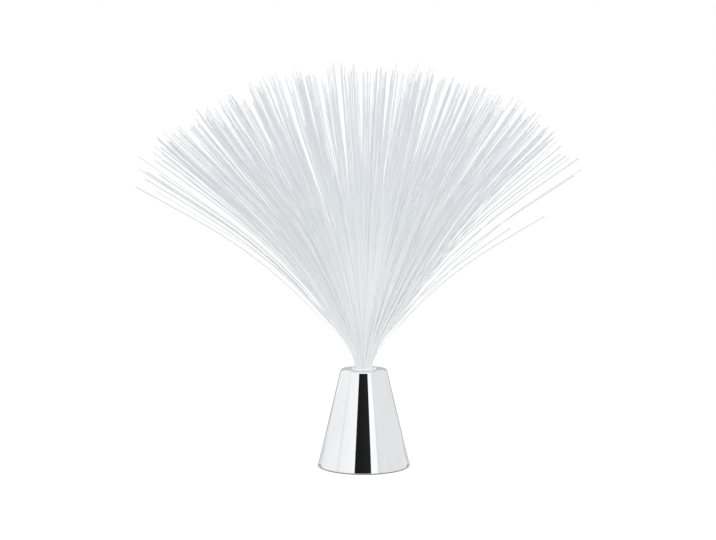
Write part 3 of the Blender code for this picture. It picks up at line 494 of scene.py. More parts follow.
# Blue-white zinc plate on steel screws: satin, a little cloudy
zincLook = {
    "name": "bright zinc plate on steel", "shader": {"Metallic": 1.0},
    "dark": "B4B7BA", "light": "C9CBCB", "tintSize": (1.4, 1.4, 1.4),
    "roughness": (0.24, 0.38), "glossSize": (0.7, 0.7, 0.7),
    "relief": 0.01, "reliefSize": (0.5, 0.5, 0.5),
}
# Nickel plate on spring steel strip and wire: warmer and smoother than zinc, with rolling lines
nickelLook = {
    "name": "nickel plate on spring steel", "shader": {"Metallic": 1.0},
    "dark": "B9B3A8", "light": "CFCABF", "tintSize": (3, 3, 0.6),
    "roughness": (0.18, 0.32), "glossSize": (0.3, 0.3, 4),
    "relief": 0.006, "reliefSize": (0.35, 0.35, 5),
}
# Phenolic paper board (SRBP), punched: brown, with paper fibres
phenolicLook = {
    "name": "punched phenolic paper",
    "dark": "6B4526", "light": "85592F", "tintSize": (0.5, 2.5, 0.5),
    "roughness": (0.5, 0.66), "glossSize": (0.6, 0.6, 0.6),
    "relief": 0.03, "reliefSize": (0.3, 1.2, 0.3),
}
# Soft PVC insulation, extruded: each wire in its own colour
def pvcLook(colourName, dark, light):
    return {
        "name": f"extruded {colourName} PVC",
        "dark": dark, "light": light, "tintSize": (5, 5, 5),
        "roughness": (0.36, 0.48), "glossSize": (1.5, 1.5, 1.5),
    }


# Cast epoxy round the light: milky, so that the chip's light spreads
epoxyLook = {
    "name": "cast milky epoxy", "shader": {"IOR": 1.54, "Transmission Weight": 0.35},
    "dark": "E6EAEC", "light": "F2F4F5", "tintSize": (2, 2, 2),
    "roughness": (0.06, 0.14), "glossSize": (2, 2, 2),
}


# PVC shrink sleeve on the cells: a graphite body with a copper band at the positive end, and bare steel ends
cellLook = {
    "name": "printed shrink sleeve on steel can",
    "dark": "2C2F33", "band": "B8743C", "steel": "C4C2BC",
    "bandFrom": 0.80, "gap": 0.01, "sleeveEnds": (0.018, 0.968), "sleeveMetal": 0.2, "bandMetal": 0.8,
    "roughness": (0.22, 0.36), "glossSize": (1.5, 4, 1.5),
}


def makeCellMaterial():
    look = cellLook
    material, tree, shader = newMaterial(look)
    place = addNode(tree, "ShaderNodeTexCoord")
    apart = addNode(tree, "ShaderNodeSeparateXYZ", None, {0: place.outputs["UV"]})
    along = apart.outputs["Y"]
    low, high = look["sleeveEnds"]
    band = look["bandFrom"]
    shades = addRamp(tree, along, ((0, look["steel"]), (low, look["dark"]), (band, look["steel"]),
                                   (band + look["gap"], look["band"]), (high, look["steel"])), "CONSTANT")
    tree.links.new(shades, shader.inputs["Base Color"])
    levels = ((0, 1), (low, look["sleeveMetal"]), (band, look["bandMetal"]), (high, 1))
    tree.links.new(addRamp(tree, along, levels, "CONSTANT"), shader.inputs["Metallic"])
    addGloss(tree, shader, look)
    return material


# FR-4 glass epoxy board under green solder resist, whose weave just shows through
boardLook = {
    "name": "green solder resist on FR-4", "dark": "0E4A26", "light": "15602F", "weave": 0.45,
    "roughness": (0.22, 0.36), "glossSize": (3, 3, 3),
}


def makeBoardMaterial():
    look = boardLook
    material, tree, shader = newMaterial(look)
    place = addNode(tree, "ShaderNodeTexCoord")
    scale = 1 / (look["weave"] * mm) / 6.283
    threads = [
        addNode(tree, "ShaderNodeTexWave", {"bands_direction": axis, "Scale": scale, "Distortion": 0.4},
                {"Vector": place.outputs["Object"]}).outputs["Fac"]
        for axis in ("X", "Y")
    ]
    weave = addNode(tree, "ShaderNodeMath", {"operation": "MULTIPLY"}, {0: threads[0], 1: threads[1]})
    shades = addRamp(tree, weave.outputs[0], ((0, look["dark"]), (1, look["light"])))
    tree.links.new(shades, shader.inputs["Base Color"])
    addGloss(tree, shader, look)
    return material


# Along each fibre the painted shade and painted glow follow the distance from the mouth, and each fibre has a tone of
# its own, with painted light in the middle of the fan and painted shade on its flanks
def makeFibreMaterial():
    look = fibreLook
    material, tree, shader = newMaterial(look)
    reach = look["shades"][-1][0]
    place = addNode(tree, "ShaderNodeTexCoord")
    away = addNode(tree, "ShaderNodeVectorMath", {"operation": "DISTANCE", 1: (0, 0, spraySet["rootHeight"] * mm)},
                   {0: place.outputs["Object"]})
    share = addNode(tree, "ShaderNodeMapRange", {"From Max": reach * mm}, {"Value": away.outputs["Value"]})
    shades, paintedGlow = (
        addRamp(tree, share.outputs["Result"], [(distance / reach, value) for distance, value in look[key]])
        for key in ("shades", "paintedGlow")
    )
    toneAndShade = addNode(tree, "ShaderNodeAttribute", {"attribute_name": "toneAndShade"})
    low, high = look["toneAndShadeFrom"]
    apart = addNode(tree, "ShaderNodeMapRange", {"From Min": low, "From Max": high},
                    {"Value": share.outputs["Result"]})
    tinted = addNode(tree, "ShaderNodeMix", {"data_type": "RGBA", "blend_type": "MULTIPLY", "clamp_result": True},
                     {0: apart.outputs["Result"], 6: shades, 7: toneAndShade.outputs["Color"]})
    tree.links.new(tinted.outputs[2], shader.inputs["Base Color"])
    # The painted glow goes into the emission
    tree.links.new(paintedGlow, shader.inputs["Emission Strength"])
    addGloss(tree, shader, look)
    return material


# Lacquered carbon film resistor: tan body, four value rings, tinned leads
resistorLook = {
    "name": "lacquered carbon film", "body": "C9A874", "tin": "B9B7B2",
    "rings": ((-2.0, "6B3A1E"), (-0.9, "1A1A1A"), (0.2, "6B3A1E"), (2.0, "B8912E")), "ringWidth": 0.5,
    "bodyHalf": 3.15, "reach": 6, "roughness": (0.25, 0.4), "glossSize": (1, 1, 1),
}


def makeResistorMaterial():
    look = resistorLook
    material, tree, shader = newMaterial(look)
    place = addNode(tree, "ShaderNodeTexCoord")
    apart = addNode(tree, "ShaderNodeSeparateXYZ", None, {0: place.outputs["Object"]})
    reach = look["reach"]
    along = addNode(tree, "ShaderNodeMapRange", {"From Min": -reach * mm, "From Max": reach * mm},
                    {"Value": apart.outputs["X"]})
    stops = [(-reach, look["tin"]), (-look["bodyHalf"], look["body"])]
    for centre, colour in look["rings"]:
        stops += [(centre - look["ringWidth"] / 2, colour), (centre + look["ringWidth"] / 2, look["body"])]
    stops.append((look["bodyHalf"], look["tin"]))
    shades = addRamp(tree, along.outputs["Result"],
                     [((reach + place) / (2 * reach), colour) for place, colour in stops], "CONSTANT")
    tree.links.new(shades, shader.inputs["Base Color"])
    addGloss(tree, shader, look)
    return material


chrome = makeSurface(chromeLook)
blackAbs = makeSurface(blackAbsLook)
whiteNylon = makeSurface(whiteNylonLook)
frosted = makeSurface(frostedLook)
rubber = makeSurface(rubberLook)
zinc = makeSurface(zincLook)
nickel = makeSurface(nickelLook)
phenolic = makeSurface(phenolicLook)
redPvc = makeSurface(pvcLook("red", "A31512", "BC211B"))
blackPvc = makeSurface(pvcLook("black", "161616", "222222"))
whitePvc = makeSurface(pvcLook("white", "DAD9D4", "E8E7E3"))
epoxy = makeSurface(epoxyLook)
cellSleeve = makeCellMaterial()
boardResist = makeBoardMaterial()
lacquer = makeResistorMaterial()
print("materials made")

makeCamera()
makeWorld()
makeLamps()
makeFloor()
makeCards()
print("camera, light and floor made")


# ---- the chromed cone with its neck tube and bosses

shellSet = {
    "height": 80, "bottomRadius": 37.956, "topRadius": 19, "wall": 1.85, "lift": 0.5, "steps": 192,
    "shoulder": 2.8, "edge": 0.5, "mouthEdge": 0.25,
    "neckOuter": 11.3, "neckBore": 9.8, "neckBottom": 50.9, "seatRadius": 10.7, "seatFloor": 78.7,
    "bossRing": 29.349, "bossTurn": 39.794, "bossRadius": 2.8, "bossBottom": 3.7, "bossTop": 16.7,
    "topBossX": 14.6, "topBossRadius": 2.4, "pilotRadius": 1.3,
}


def coneRadius(z):
    s = shellSet
    return s["bottomRadius"] + (s["topRadius"] - s["bottomRadius"]) * z / s["height"]


def makeShell():
    s = shellSet
    ceiling = s["height"] - s["wall"]
    corners = [
        (s["topRadius"], s["height"], s["shoulder"]),
        (coneRadius(s["lift"]), s["lift"], s["edge"]),
        (coneRadius(s["lift"]) - s["wall"], s["lift"], 0.3),
        (coneRadius(ceiling) - s["wall"], ceiling, 0.6),
        (s["neckOuter"], ceiling, 0.6),
        (s["neckOuter"], s["neckBottom"], 0.2),
        (s["neckBore"], s["neckBottom"], 0.2),
        (s["neckBore"], s["seatFloor"]),
        (s["seatRadius"], s["seatFloor"]),
        (s["seatRadius"], s["height"], s["mouthEdge"]),
    ]
    shape = bmesh.new()
    turn(shape, roundOutline(corners, 10), s["steps"])
    ring = s["bossRing"]
    for angle in (s["bossTurn"], 180 - s["bossTurn"], 180 + s["bossTurn"], -s["bossTurn"]):
        radians = math.radians(angle)
        centre = (ring * mm * math.cos(radians), ring * mm * math.sin(radians), 0)
        boss = [
            (s["bossRadius"], s["bossTop"], 0.3), (s["bossRadius"], s["bossBottom"]),
            (s["pilotRadius"], s["bossBottom"]), (s["pilotRadius"], s["bossTop"] - 3),
            (0.3, s["bossTop"] - 3), (0.3, s["bossTop"]),
        ]
        turn(shape, roundOutline(boss, 3), 32, centre)
        wallReach = coneRadius(s["bossTop"]) - s["wall"] / 2
        addBlock(shape, (ring + 2.0, -0.75, s["bossBottom"]), (wallReach, 0.75, s["bossTop"]), 0.1,
                 matrix=Matrix.Rotation(radians, 4, "Z"))
    for side in (-1, 1):
        boss = [
            (s["topBossRadius"], ceiling + 0.5), (s["topBossRadius"], s["neckBottom"], 0.2), (1.05, s["neckBottom"]),
            (1.05, s["neckBottom"] + 7), (0.3, s["neckBottom"] + 7), (0.3, ceiling + 0.5),
        ]
        turn(shape, roundOutline(boss, 3), 32, (side * s["topBossX"] * mm, 0, 0))
    newPiece("chromedCone", meshOf("chromedCone", shape), chrome, "base", ["base_shell"])


makeShell()
print("cone made")


# ---- collar, ferrule sleeve and bundle

collarSet = {
    "flangeRadius": 10.4, "flangeTop": 80.5, "flangeBottom": 79.0, "edge": 0.35, "outer": 9.5, "inner": 8.7,
    "bottom": 58.7, "shelfInner": 6.9, "shelfTop": 59.7, "steps": 128,
}


def makeCollar():
    s = collarSet
    corners = [
        (s["flangeRadius"], s["flangeTop"], s["edge"]),
        (s["flangeRadius"], s["flangeBottom"], 0.15),
        (s["outer"], s["flangeBottom"]),
        (s["outer"], s["bottom"], 0.25),
        (s["shelfInner"], s["bottom"], 0.2),
        (s["shelfInner"], s["shelfTop"], 0.2),
        (s["inner"], s["shelfTop"]),
        (s["inner"], s["flangeTop"], 0.3),
    ]
    shape = bmesh.new()
    turn(shape, roundOutline(corners, 6), s["steps"])
    newPiece("frostedCollar", meshOf("frostedCollar", shape), frosted, "collar", ["collar"])


sleeveSet = {
    "outer": 8.4, "inner": 7.8, "top": 79.0, "bottom": 60.0, "grooves": (64.5, 66.5, 68.5), "grooveDepth": 0.2,
    "steps": 96,
}


def makeSleeve():
    s = sleeveSet
    corners = [(s["outer"], s["top"], 0.15)]
    for height in reversed(s["grooves"]):
        corners += [(s["outer"], height + 0.45, 0.1), (s["outer"] - s["grooveDepth"], height + 0.2, 0.1),
                    (s["outer"] - s["grooveDepth"], height - 0.2, 0.1), (s["outer"], height - 0.45, 0.1)]
    corners += [(s["outer"], s["bottom"], 0.2), (s["inner"], s["bottom"], 0.1), (s["inner"], s["top"], 0.1)]
    shape = bmesh.new()
    turn(shape, roundOutline(corners, 4), s["steps"])
    newPiece("ferruleSleeve", meshOf("ferruleSleeve", shape), blackAbs, "spray", ["ferrule_sleeve"])


# The bundle's ground end faces show the packed fibre ends
bundleSet = {
    "radius": 7.5, "bottom": 60.0, "top": 79.0, "sliceBottom": 79.3, "sliceTop": 80.4, "steps": 96,
    "fibreWidth": 0.45,
}
bundleLook = {
    "name": "ground acrylic fibre ends", "shader": {"IOR": 1.49}, "core": "EEF1F2", "gap": "B9BEC2", "gapShare": 0.18,
    "roughness": (0.18, 0.4), "glossSize": (0.5, 0.5, 5), "relief": 0.08,
}


def makeBundleMaterial():
    material, tree, shader = newMaterial(bundleLook)
    place = addNode(tree, "ShaderNodeTexCoord")
    scale = 1 / (bundleSet["fibreWidth"] * mm)
    cells = addNode(tree, "ShaderNodeTexVoronoi",
                    {"feature": "DISTANCE_TO_EDGE", "voronoi_dimensions": "2D", "Scale": scale},
                    {"Vector": place.outputs["Object"]})
    edge = cells.outputs["Distance"]
    shades = addRamp(tree, edge, ((0, bundleLook["gap"]), (bundleLook["gapShare"], bundleLook["core"])))
    tree.links.new(shades, shader.inputs["Base Color"])
    addGloss(tree, shader, bundleLook)
    addRelief(tree, shader, edge, 0.5, bundleLook["relief"])
    return material


def makeBundle():
    s = bundleSet
    ends = makeBundleMaterial()
    slices = (("fibreBundle", s["bottom"], s["top"], "fiber_bundle"),
              ("spraySlice", s["sliceBottom"], s["sliceTop"], "fiber_spray"))
    for name, low, high, node in slices:
        corners = [(0, high), (s["radius"], high, 0.2), (s["radius"], low, 0.2), (0, low)]
        shape = bmesh.new()
        turn(shape, roundOutline(corners, 4, closed=False), s["steps"])
        newPiece(name, meshOf(name, shape), ends, "spray", [node])


makeCollar()
makeSleeve()
makeBundle()
print("collar and bundle made")


# ---- the spray of fibres

# Angles in degrees. A fibre bends outwards just over the mouth, runs straight, and then droops. Three or four
# fibres follow each guide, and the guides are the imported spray's own strands.
spraySet = {
    "guidePairs": 150, "guideSeed": 7, "rootReach": 7.05, "rootHeight": 79.9,
    "length": 252, "lengthJitter": 0.025, "spread": 52.5, "slopeJitter": 0.022, "looseFrom": 0.93, "looseSpread": 11,
    "lockPairs": 50, "lockSeed": 3, "lockTurn": 0.9, "lockPull": (0.15, 0.7), "lockFrom": 0.1,
    "quickBend": (0.72, 0.05), "droop": (0.2, 0.85),
    "count": 1000, "seed": 11, "sides": 6, "rootRadius": 0.2, "radius": 0.245, "strayRadius": 0.3,
    "apart": 2.0, "looseApart": 2.6, "longest": -1.0, "shortest": -11.0, "wander": 0.35, "denseTilt": 47.5,
    "strayNearest": 1.5, "strayOutwards": 0.75, "outermost": 51.4,
    "stations": (0, 0.012, 0.028, 0.048, 0.075, 0.11, 0.155, 0.21, 0.28, 0.36, 0.46, 0.57, 0.68, 0.79, 0.9, 1),
    # Painted light on fibres that end near upright and painted shade on those that lean far out; the strays have a
    # tone of their own, and every fibre a random spread
    "paintedLitMiddle": 1.04, "paintedShadedSides": 0.955, "toneStray": 0.78, "toneSpread": 0.03, "paintedShadeFrom": (4, 32),
    "pieces": 4,
}
# Loose fibres beside the dense spray, as (degrees from upright, millimetres to the tip), left ones negative
straySet = (
    (-51.4, 239), (-49.0, 237), (-48.2, 242), (-47.8, 240), (-46.5, 231), (-45.0, 241), (-43.9, 237),
    (-42.5, 246),
    (45.5, 246), (47.4, 234), (43.4, 240), (41.4, 243), (49.8, 194), (46.1, 166), (42.4, 238), (39.4, 245),
)


def smoothShare(value, low, high):
    t = np.clip((value - low) / (high - low), 0, 1)
    return t * t * (3 - 2 * t)


def bendShare(share):  # how much of its end slope a fibre has at a share of its length
    weight, length = spraySet["quickBend"]
    return weight * (1 - np.exp(-share / length)) + (1 - weight) * smoothShare(share, *spraySet["droop"])


# Paths of fibres from their roots, end slopes as tilts to X and Y in degrees, and lengths
def fibrePaths(roots, tilts, lengths):
    fine = np.linspace(0, 1, 121)
    middle = (fine[1:] + fine[:-1]) / 2
    slope = np.radians(tilts)[:, None, :] * bendShare(middle)[None, :, None]
    size = np.linalg.norm(slope, axis=2)
    away = slope / np.maximum(size, 1e-9)[:, :, None]
    step = np.concatenate([away * np.sin(size)[:, :, None], np.cos(size)[:, :, None]], axis=2)
    travel = np.cumsum(step, axis=1) * (lengths[:, None, None] / 120)
    travel = np.concatenate([np.zeros((len(roots), 1, 3)), travel], axis=1)
    stations = np.array(spraySet["stations"]) * 120
    low = np.floor(stations).astype(int)
    high = np.minimum(low + 1, 120)
    part = (stations - low)[None, :, None]
    return roots[:, None, :] + travel[:, low] * (1 - part) + travel[:, high] * part


# Roots in millimetres, end slopes, the slopes of the locks that they cling to, pulls, looseness and lengths
def sprayGuides():
    s = spraySet
    turning = fullTurn * (3 - math.sqrt(5)) / 4
    lockDraw = np.random.default_rng(s["lockSeed"])
    locks = []
    for index in range(s["lockPairs"]):
        tilt = s["spread"] * math.sqrt((2 * index + 1) / (2 * s["lockPairs"]))
        angle = index * turning + s["lockTurn"]
        centre = np.array((tilt * math.cos(angle), tilt * math.sin(angle)))
        pull = lockDraw.uniform(*s["lockPull"])
        locks += [(centre, pull), (-centre, pull)]
    draw = np.random.default_rng(s["guideSeed"])
    guides = []
    for index in range(s["guidePairs"]):
        share = math.sqrt((2 * index + 1) / (2 * s["guidePairs"]))
        angle = index * turning
        jitter = draw.uniform(-1, 1, 3)
        looseness = max(0.0, (share - s["looseFrom"]) / (1 - s["looseFrom"]))
        tilt = s["spread"] * (share + s["slopeJitter"] * jitter[0])
        tilt += s["looseSpread"] * looseness * (1 + jitter[1]) / 2
        swing = s["slopeJitter"] * jitter[1] / max(share, s["slopeJitter"])
        length = s["length"] * (1 - s["lengthJitter"] * (1 + jitter[2]) / 2)
        root = np.array((math.cos(angle), math.sin(angle))) * s["rootReach"] * share
        slope = np.array((math.cos(angle + swing), math.sin(angle + swing))) * max(tilt, 0.0)
        centre, pull = min(locks, key=lambda lock: np.linalg.norm(lock[0] - slope))
        for side in (1, -1):
            guides.append((root * side, slope * side, centre * side, pull * (1 - looseness), looseness, length))
    return guides


# Narrow slits open between the fibres towards their tips, and the whole fan leans a little to the left.
# Angles are degrees round the mouth as the camera sees them, and "begin" is a share of a fibre's length.
slitSet = {
    "from": (-56, 56), "count": 60, "seed": 23, "jitter": 0.8, "halfWidth": (0.04, 0.52), "widthPower": 1.4,
    "begin": (0.3, 0.82),
}
fanSet = {"apart": 1.2, "half": 36, "left": 2.0, "begin": (0.25, 0.8)}


def arrangeFibres(paths):
    s = slitSet
    random = np.random.default_rng(s["seed"])
    pitch = (s["from"][1] - s["from"][0]) / s["count"]
    moved = random.uniform(-0.5, 0.5, s["count"]) * s["jitter"]
    slits = s["from"][0] + pitch * (np.arange(s["count"]) + 0.5 + moved)
    narrow, wide = s["halfWidth"]
    widths = narrow + (wide - narrow) * random.uniform(0, 1, s["count"]) ** s["widthPower"]
    begins = random.uniform(*s["begin"], s["count"])
    eye = np.array(cameraSet["place"])
    depth = paths[:, :, 1] - eye[1]
    mouth = (spraySet["rootHeight"] * mm - eye[2]) / -eye[1]
    across = paths[:, :, 0] / depth
    above = (paths[:, :, 2] - eye[2]) / depth - mouth
    tips = np.degrees(np.arctan2(across[:, -1], above[:, -1]))
    outwards = tips / fanSet["half"]
    fan = fanSet["apart"] * np.sin(np.clip(outwards, -1, 1) * math.pi) - fanSet["left"] * np.abs(outwards)
    gathered = tips + fan
    nearest = np.abs(gathered[:, None] - slits[None, :]).argmin(axis=1)
    offset = gathered - slits[nearest]
    reach = pitch * 0.5
    closeness = np.maximum(1 - np.abs(offset) / reach, 0)
    push = np.sign(offset) * widths[nearest] * closeness
    stations = np.array(spraySet["stations"])
    opened = np.stack([smoothShare(stations, begin, 1.0) for begin in begins[nearest]])
    fanned = smoothShare(stations, *fanSet["begin"])
    turned = np.radians(push)[:, None] * opened + np.radians(fan)[:, None] * fanned
    result = paths.copy()
    result[:, :, 0] = (across * np.cos(turned) + above * np.sin(turned)) * depth
    result[:, :, 2] = (above * np.cos(turned) - across * np.sin(turned) + mouth) * depth + eye[2]
    return result


# End slope and length that bring a fibre's tip to an angle and a distance from the mouth
def solveStray(root, angle, distance):
    slope, length = angle * 1.15, distance * mm * 1.03
    for trial in range(12):
        path = fibrePaths(np.array([root]), np.array([[slope, 0.0]]), np.array([length]))[0]
        tip = path[-1] - (0, 0, root[2])
        slope += angle - math.degrees(math.atan2(tip[0], tip[2]))
        length *= distance * mm / np.linalg.norm(tip)
    return slope, length


def makeSpray():
    s = spraySet
    fibre = makeFibreMaterial()
    random = np.random.default_rng(s["seed"])
    guides = sprayGuides()
    roots, slopes, lockSlopes, pulls, lengths = [], [], [], [], []
    for index in range(s["count"]):
        root, slope, centre, pull, looseness, length = guides[index % len(guides)]
        angle, reach = random.uniform(0, fullTurn), math.sqrt(random.uniform(0, 1))
        beside = np.array((math.cos(angle), math.sin(angle))) * reach
        offset = beside * (s["apart"] + (s["looseApart"] - s["apart"]) * looseness)
        roots.append((*(root + beside * 0.2) * mm, s["rootHeight"] * mm))
        slope = slope + offset
        if index >= len(guides):  # one fibre in three or four is as loose as its guide
            slope = slope * min(1, s["denseTilt"] / np.linalg.norm(slope))
        slopes.append(slope)
        lockSlopes.append(centre + offset)
        pulls.append(pull)
        lengths.append((length + random.uniform(s["shortest"], s["longest"])) * mm)
    roots, lengths = np.array(roots), np.array(lengths)
    own = fibrePaths(roots, np.array(slopes) + random.normal(0, s["wander"], (s["count"], 2)), lengths)
    locked = fibrePaths(roots, np.array(lockSlopes), lengths)
    grip = np.array(pulls)[:, None] * smoothShare(np.array(s["stations"]), s["lockFrom"], 1)[None, :]
    paths = own + (locked - own) * grip[:, :, None]
    paths = arrangeFibres(paths)
    strays = []
    for index, (angle, distance) in enumerate(straySet):
        # The outermost strays also start outermost
        out = max(s["strayNearest"], s["rootReach"] - s["strayOutwards"] * (s["outermost"] - abs(angle)))
        root = (math.copysign(out * mm, angle), (index % 5 - 2) * 0.5 * mm, s["rootHeight"] * mm)
        slope, length = solveStray(root, angle, distance)
        strays.append(fibrePaths(np.array([root]), np.array([[slope, 0.0]]), np.array([length]))[0])
    paths = np.concatenate([paths, np.array(strays)])
    stations = np.array(s["stations"])
    full = np.where(np.arange(len(paths)) < s["count"], s["radius"], s["strayRadius"])[:, None]
    radii = (s["rootRadius"] + (full - s["rootRadius"]) * smoothShare(stations, 0, 0.15)[None, :]) * mm
    aside = np.degrees(np.abs(np.arctan2(paths[:, -1, 0], paths[:, -1, 2] - s["rootHeight"] * mm)))
    # Each fibre's tone: painted light near upright, painted shade far out, plus a random spread
    tonesAndShade = s["paintedLitMiddle"] + (s["paintedShadedSides"] - s["paintedLitMiddle"]) * smoothShare(aside, *s["paintedShadeFrom"])
    tonesAndShade[s["count"]:] = s["toneStray"]
    tonesAndShade += random.uniform(-1, 1, len(paths)) * s["toneSpread"]
    order = np.argsort(np.arctan2(paths[:, -1, 1], paths[:, -1, 0]))
    for index, group in enumerate(np.array_split(order, s["pieces"])):
        name = f"sprayFibres{index + 1}"
        mesh = sweepTubes(name, paths[group], radii[group], s["sides"])
        toneAndShade = mesh.attributes.new("toneAndShade", "FLOAT", "POINT")
        toneAndShade.data.foreach_set("value", np.repeat(tonesAndShade[group], len(stations) * s["sides"]).astype(np.float32))
        newPiece(name, mesh, fibre, "spray", ["fiber_spray"])
        print(name, len(group), "fibres,", sum(len(face.vertices) - 2 for face in mesh.polygons), "triangles")


makeSpray()
print("spray made")


# ---- underside: feet, screws and door

footSet = {"radius": 3.2, "thickness": 1.7, "edge": 0.4, "ring": 30.9, "steps": 48}


def makeFeet():
    s = footSet
    corners = [
        (0, s["thickness"]), (s["radius"], s["thickness"], 0.15), (s["radius"], 0, s["edge"]),
        (2.3, 0, 0.1), (2.2, 0.15, 0.05), (1.7, 0.15, 0.05), (1.6, 0, 0.1), (0, 0),
    ]
    for index in range(4):
        angle = index * fullTurn / 4
        shape = bmesh.new()
        centre = (s["ring"] * mm * math.cos(angle), s["ring"] * mm * math.sin(angle), 0)
        turn(shape, roundOutline(corners, 4, closed=False), s["steps"], centre)
        name = f"rubberPad{index + 1}"
        newPiece(name, meshOf(name, shape), rubber, "base", [f"foot_{index + 1}"])


screwSet = {
    "base": {"head": 2.4, "headHeight": 1.2, "shaft": 1.25, "length": 9.5, "pitch": 1.1},
    "board": {"head": 2.0, "headHeight": 1.3, "shaft": 1.0, "length": 9.5, "pitch": 0.9},
}
slotTurn = 0.03  # radians, which keeps the slots' sides off the shank's facets


# A pan head with a cross recess, a shank with rings for its thread, and a point, standing on its head
def screwMesh(name, s, place):
    edge = s["headHeight"] / 3
    corners = [(0, s["length"]), (0.25, s["length"] - 0.3), (s["shaft"] * 0.8, s["length"] - 1.4)]
    height = s["length"] - 1.5
    while height > s["headHeight"] + s["pitch"]:
        root = s["shaft"] * 0.78
        corners += [(s["shaft"], height, 0.05), (root, height - s["pitch"] * 0.3), (root, height - s["pitch"] * 0.7)]
        height -= s["pitch"]
    corners += [
        (s["shaft"] * 0.9, s["headHeight"]), (s["head"], s["headHeight"], 0.1), (s["head"], edge, 0.35),
        (s["head"] - 1.6 * edge, 0, 0.5), (0, 0),
    ]
    shape = bmesh.new()
    turn(shape, roundOutline(corners, 4, closed=False), 40, place)
    screw = meshOf(name, shape)
    reach, half, depth = s["head"] * 0.62, s["head"] * 0.11, s["headHeight"] * 0.65
    turned = Matrix.Translation(place) @ Matrix.Rotation(slotTurn, 4, "Z")
    for wide, narrow in ((reach, half), (half, reach)):
        slot = bmesh.new()
        addBlock(slot, (-wide, -narrow, -1), (wide, narrow, depth), 0, matrix=turned)
        screw = cutMesh(name, screw, meshOf(name + "Slot", slot))
    return screw


def makeScrews():
    kinds = (("base", 4, "base_screw", "plateScrew"), ("board", 2, "board_screw", "holderScrew"))
    for kind, count, node, piece in kinds:
        for index in range(count):
            low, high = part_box(f"{node}_{index + 1}")
            place = ((low.x + high.x) / 2, (low.y + high.y) / 2 if kind == "base" else 0, low.z)
            name = f"{piece}{index + 1}"
            mesh = screwMesh(name, screwSet[kind], place)
            newPiece(name, mesh, zinc, "base", [f"{node}_{index + 1}"])


doorSet = {
    "halfWidth": 16.45, "back": -23.4, "front": 24.8, "bottom": 1.0, "top": 2.6, "bevel": 0.25,
    "barrelRadius": 1.4, "barrelHeight": 2.4, "pinRadius": 0.8, "pinReach": 17.35,
    "latchHalf": 4.0, "latchDepth": 1.2, "latchTop": 3.7,
    "gripRibs": 6, "gripPitch": 1.3, "gripHalf": 6.0, "gripFrom": 14.0, "gripDepth": 0.45, "gripWidth": 0.8,
    "arrow": ((-2.6, 8.4), (2.6, 8.4), (0, 11.6)), "arrowDepth": 0.3,
}


def makeDoor():
    s = doorSet
    panel = bmesh.new()
    addBlock(panel, (-s["halfWidth"], s["back"], s["bottom"]), (s["halfWidth"], s["front"], s["top"]), s["bevel"], 3)
    grooves = bmesh.new()
    for rib in range(s["gripRibs"]):
        y = s["gripFrom"] + rib * s["gripPitch"]
        addBlock(grooves, (-s["gripHalf"], y - s["gripWidth"] / 2, s["bottom"] - 1),
                 (s["gripHalf"], y + s["gripWidth"] / 2, s["bottom"] + s["gripDepth"]), 0.12, 2)
    lower, upper = (
        [grooves.verts.new((x * mm, y * mm, z * mm)) for x, y in s["arrow"]]
        for z in (s["bottom"] - 1, s["bottom"] + s["arrowDepth"])
    )
    grooves.faces.new(lower)
    grooves.faces.new(upper)
    for at in range(3):
        grooves.faces.new((lower[at], lower[(at + 1) % 3], upper[(at + 1) % 3], upper[at]))
    door = cutMesh("cellDoor", meshOf("panel", panel), meshOf("grooves", grooves))
    shape = bmesh.new()
    shape.from_mesh(door)
    rest = bmesh.new()
    for radius, half, steps in ((s["barrelRadius"], s["halfWidth"], 48), (s["pinRadius"], s["pinReach"], 32)):
        rod = [(0, half), (radius, half, 0.2), (radius, -half, 0.2), (0, -half)]
        turn(rest, roundOutline(rod, 3, closed=False), steps)
    hinge = Matrix.Translation((0, s["back"] * mm, s["barrelHeight"] * mm)) @ Matrix.Rotation(math.pi / 2, 4, "Y")
    bmesh.ops.transform(rest, matrix=hinge, verts=rest.verts)
    addBlock(rest, (-s["latchHalf"], s["front"] - s["latchDepth"], s["top"] - 0.4),
             (s["latchHalf"], s["front"], s["latchTop"]), 0.25, 3)
    bmesh.ops.recalc_face_normals(rest, faces=rest.faces)
    rest.to_mesh(door)
    shape.from_mesh(door)
    rest.free()
    newPiece("cellDoor", meshOf("cellDoor", shape), blackAbs, "door", ["battery_door"])


makeFeet()
makeScrews()
makeDoor()
print("underside made")


# ---- cells, springs, switch and light

cellSet = {"radius": 5.25, "length": 44.5, "nubRadius": 1.9, "nubHeight": 1.0, "edge": 0.5, "steps": 72}


def alongCell(index, side, start):  # stands a piece on its seat in the tray, along the cell's axis
    low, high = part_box(f"battery_{index + 1}")
    place = Matrix.Translation(((low.x + high.x) / 2, start, (low.z + high.z) / 2))
    return place @ Matrix.Rotation(side * math.pi / 2, 4, "X")


